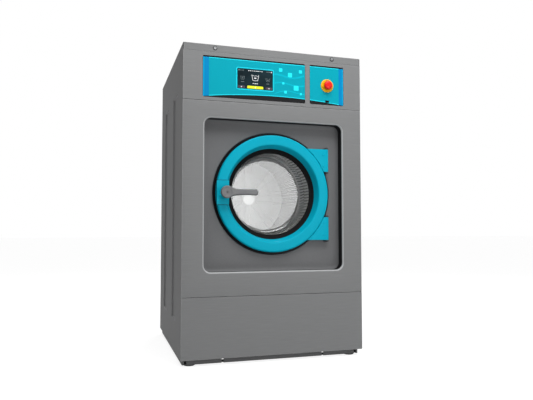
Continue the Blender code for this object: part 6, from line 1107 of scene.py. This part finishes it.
# ---------- feet and rear fittings
STEM_R, STEM_PITCH, STEM_STEPS = 0.0062, 0.00125, 40
STEM_RIDGES = (0.0056, STEM_R)
PAD_STEPS = 48
THREAD_R = 0.0129
THREAD_RIDGES = (0.0131, 0.0139)
THREAD_FRONT, THREAD_END, THREAD_PITCH = 0.78, 0.7968, 0.0012
INLET_X, INLET_PITCH, INLET_Z = -0.27, 0.06, 1.15
for name in FEET:
    low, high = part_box(name)
    x = (low.x + high.x) / 2
    y = (low.y + high.y) / 2
    pad = [(0, 0), (0.0215, 0), (0.023, 0.001), (0.023, 0.0026), (0, 0.0026)]
    mesh = upright(lathe(pad, PAD_STEPS, 0, 0, closed=False), x, y, 0)
    piece(f"{name}_pad", mesh, "black_rubber", "root", [name])
    stem = [(0, 0.0026), (0.0226, 0.0026), (0.0215, 0.004), (0.011, 0.0056), (STEM_R, 0.0056)]
    for ridge in range(33):
        stem.append((STEM_RIDGES[ridge % 2], 0.0062 + STEM_PITCH * ridge))
    stem.append((0, 0.048))
    mesh = upright(lathe(stem, STEM_STEPS, 0, 0, closed=False), x, y, 0)
    piece(f"{name}_stem", mesh, "galvanised", "root", [name], 30)

band = [(0.0343, 0.796), (0.0352, 0.796), (0.0352, 0.808), (0.0343, 0.808)]
piece("outlet_clamp", lathe(band, 64, hose_end[0], HOSE_END_Z), "bright_steel")
fastener("outlet_clamp_screw", (hose_end[0], FRONT_Y + 0.802, HOSE_END_Z + 0.035), (0, 0, 1), 0.0038)
for index in range(3):
    ridges = [(THREAD_R, THREAD_FRONT)]
    for step in range(15):
        ridges.append((THREAD_RIDGES[step % 2], THREAD_FRONT + THREAD_PITCH * step))
    ridges.append((THREAD_R, THREAD_END))
    thread = lathe(ridges, STEM_STEPS, INLET_X + INLET_PITCH * index, INLET_Z)
    piece(f"inlet_thread_{index}", thread, "brass", angle=30)
dressed("cable_gland", 0.0005)

# ---------- stage, light and camera
FLOOR_REACH = 40
FLOOR_TONE = (0.62, 0.62, 0.62, 1)
FLOOR_GLOW = 1.74
FLOOR_GLOW_SHARE = 0.5
WORLD_LIGHT = 0.3

floor_paint = Graph(bpy.data.materials.new("studio_floor"))
floor_paint.feed(floor_paint.shader, {"Base Color": FLOOR_TONE, "Roughness": 0.9, "Specular IOR Level": 0.1})
floor_paint.blend_shaders(
    floor_paint.run("MULTIPLY", floor_paint.looked_at(), FLOOR_GLOW_SHARE),
    floor_paint.add("Emission", {"Strength": FLOOR_GLOW})
)
floor_mesh = bpy.data.meshes.new("floor")
floor_corners = [(x * FLOOR_REACH, y * FLOOR_REACH, 0) for x, y in ((-1, -1), (1, -1), (1, 1), (-1, 1))]
floor_mesh.from_pydata(floor_corners, [], [(0, 1, 2, 3)])
floor_mesh.materials.append(bpy.data.materials["studio_floor"])
floor = placed("studio_floor", floor_mesh)

world = bpy.data.worlds.new("studio")
bpy.context.scene.world = world
sky = Graph(world)
strength = sky.span(sky.looked_at(), 0, 1, 1, WORLD_LIGHT)
sky.feed(sky.nodes["Background"], {"Strength": strength, "Color": (1, 1, 1, 1)})

for name, place, target, size, power in (
    ("key_lamp", (0.2, -1.7, 3), (0, -0.4, 1.25), (2, 1.2), 66),
    ("fill_lamp", (-2.6, -1.8, 2.4), (0, 0, 1), (1.6, 1.6), 3),
    ("port_lamp", (0.75, -2.6, 0.85), (-0.1, 0.1, 0.7), (0.8, 0.8), 12),
    ("rear_lamp", (1.2, 2.8, 2.6), (0, 0, 0.8), (2, 1.6), 40),
):
    lamp = bpy.data.lights.new(name, "AREA")
    lamp.shape = "RECTANGLE"
    lamp.size, lamp.size_y = size
    lamp.energy = power
    thing = placed(name, lamp)
    thing.location = place
    aim = Vector(target) - Vector(place)
    thing.rotation_euler = aim.to_track_quat("-Z", "Y").to_euler()

camera_data = bpy.data.cameras.new("photo_camera")
camera_data.lens = 36.88
camera_data.sensor_width = 36
camera = placed("photo_camera", camera_data)
camera.location = (-0.701, FRONT_Y - 2.1813, 0.544)
camera.rotation_euler = (radians(93.16), 0, radians(-16.83))
bpy.context.scene.camera = camera
bpy.context.scene.view_settings.view_transform = "Standard"
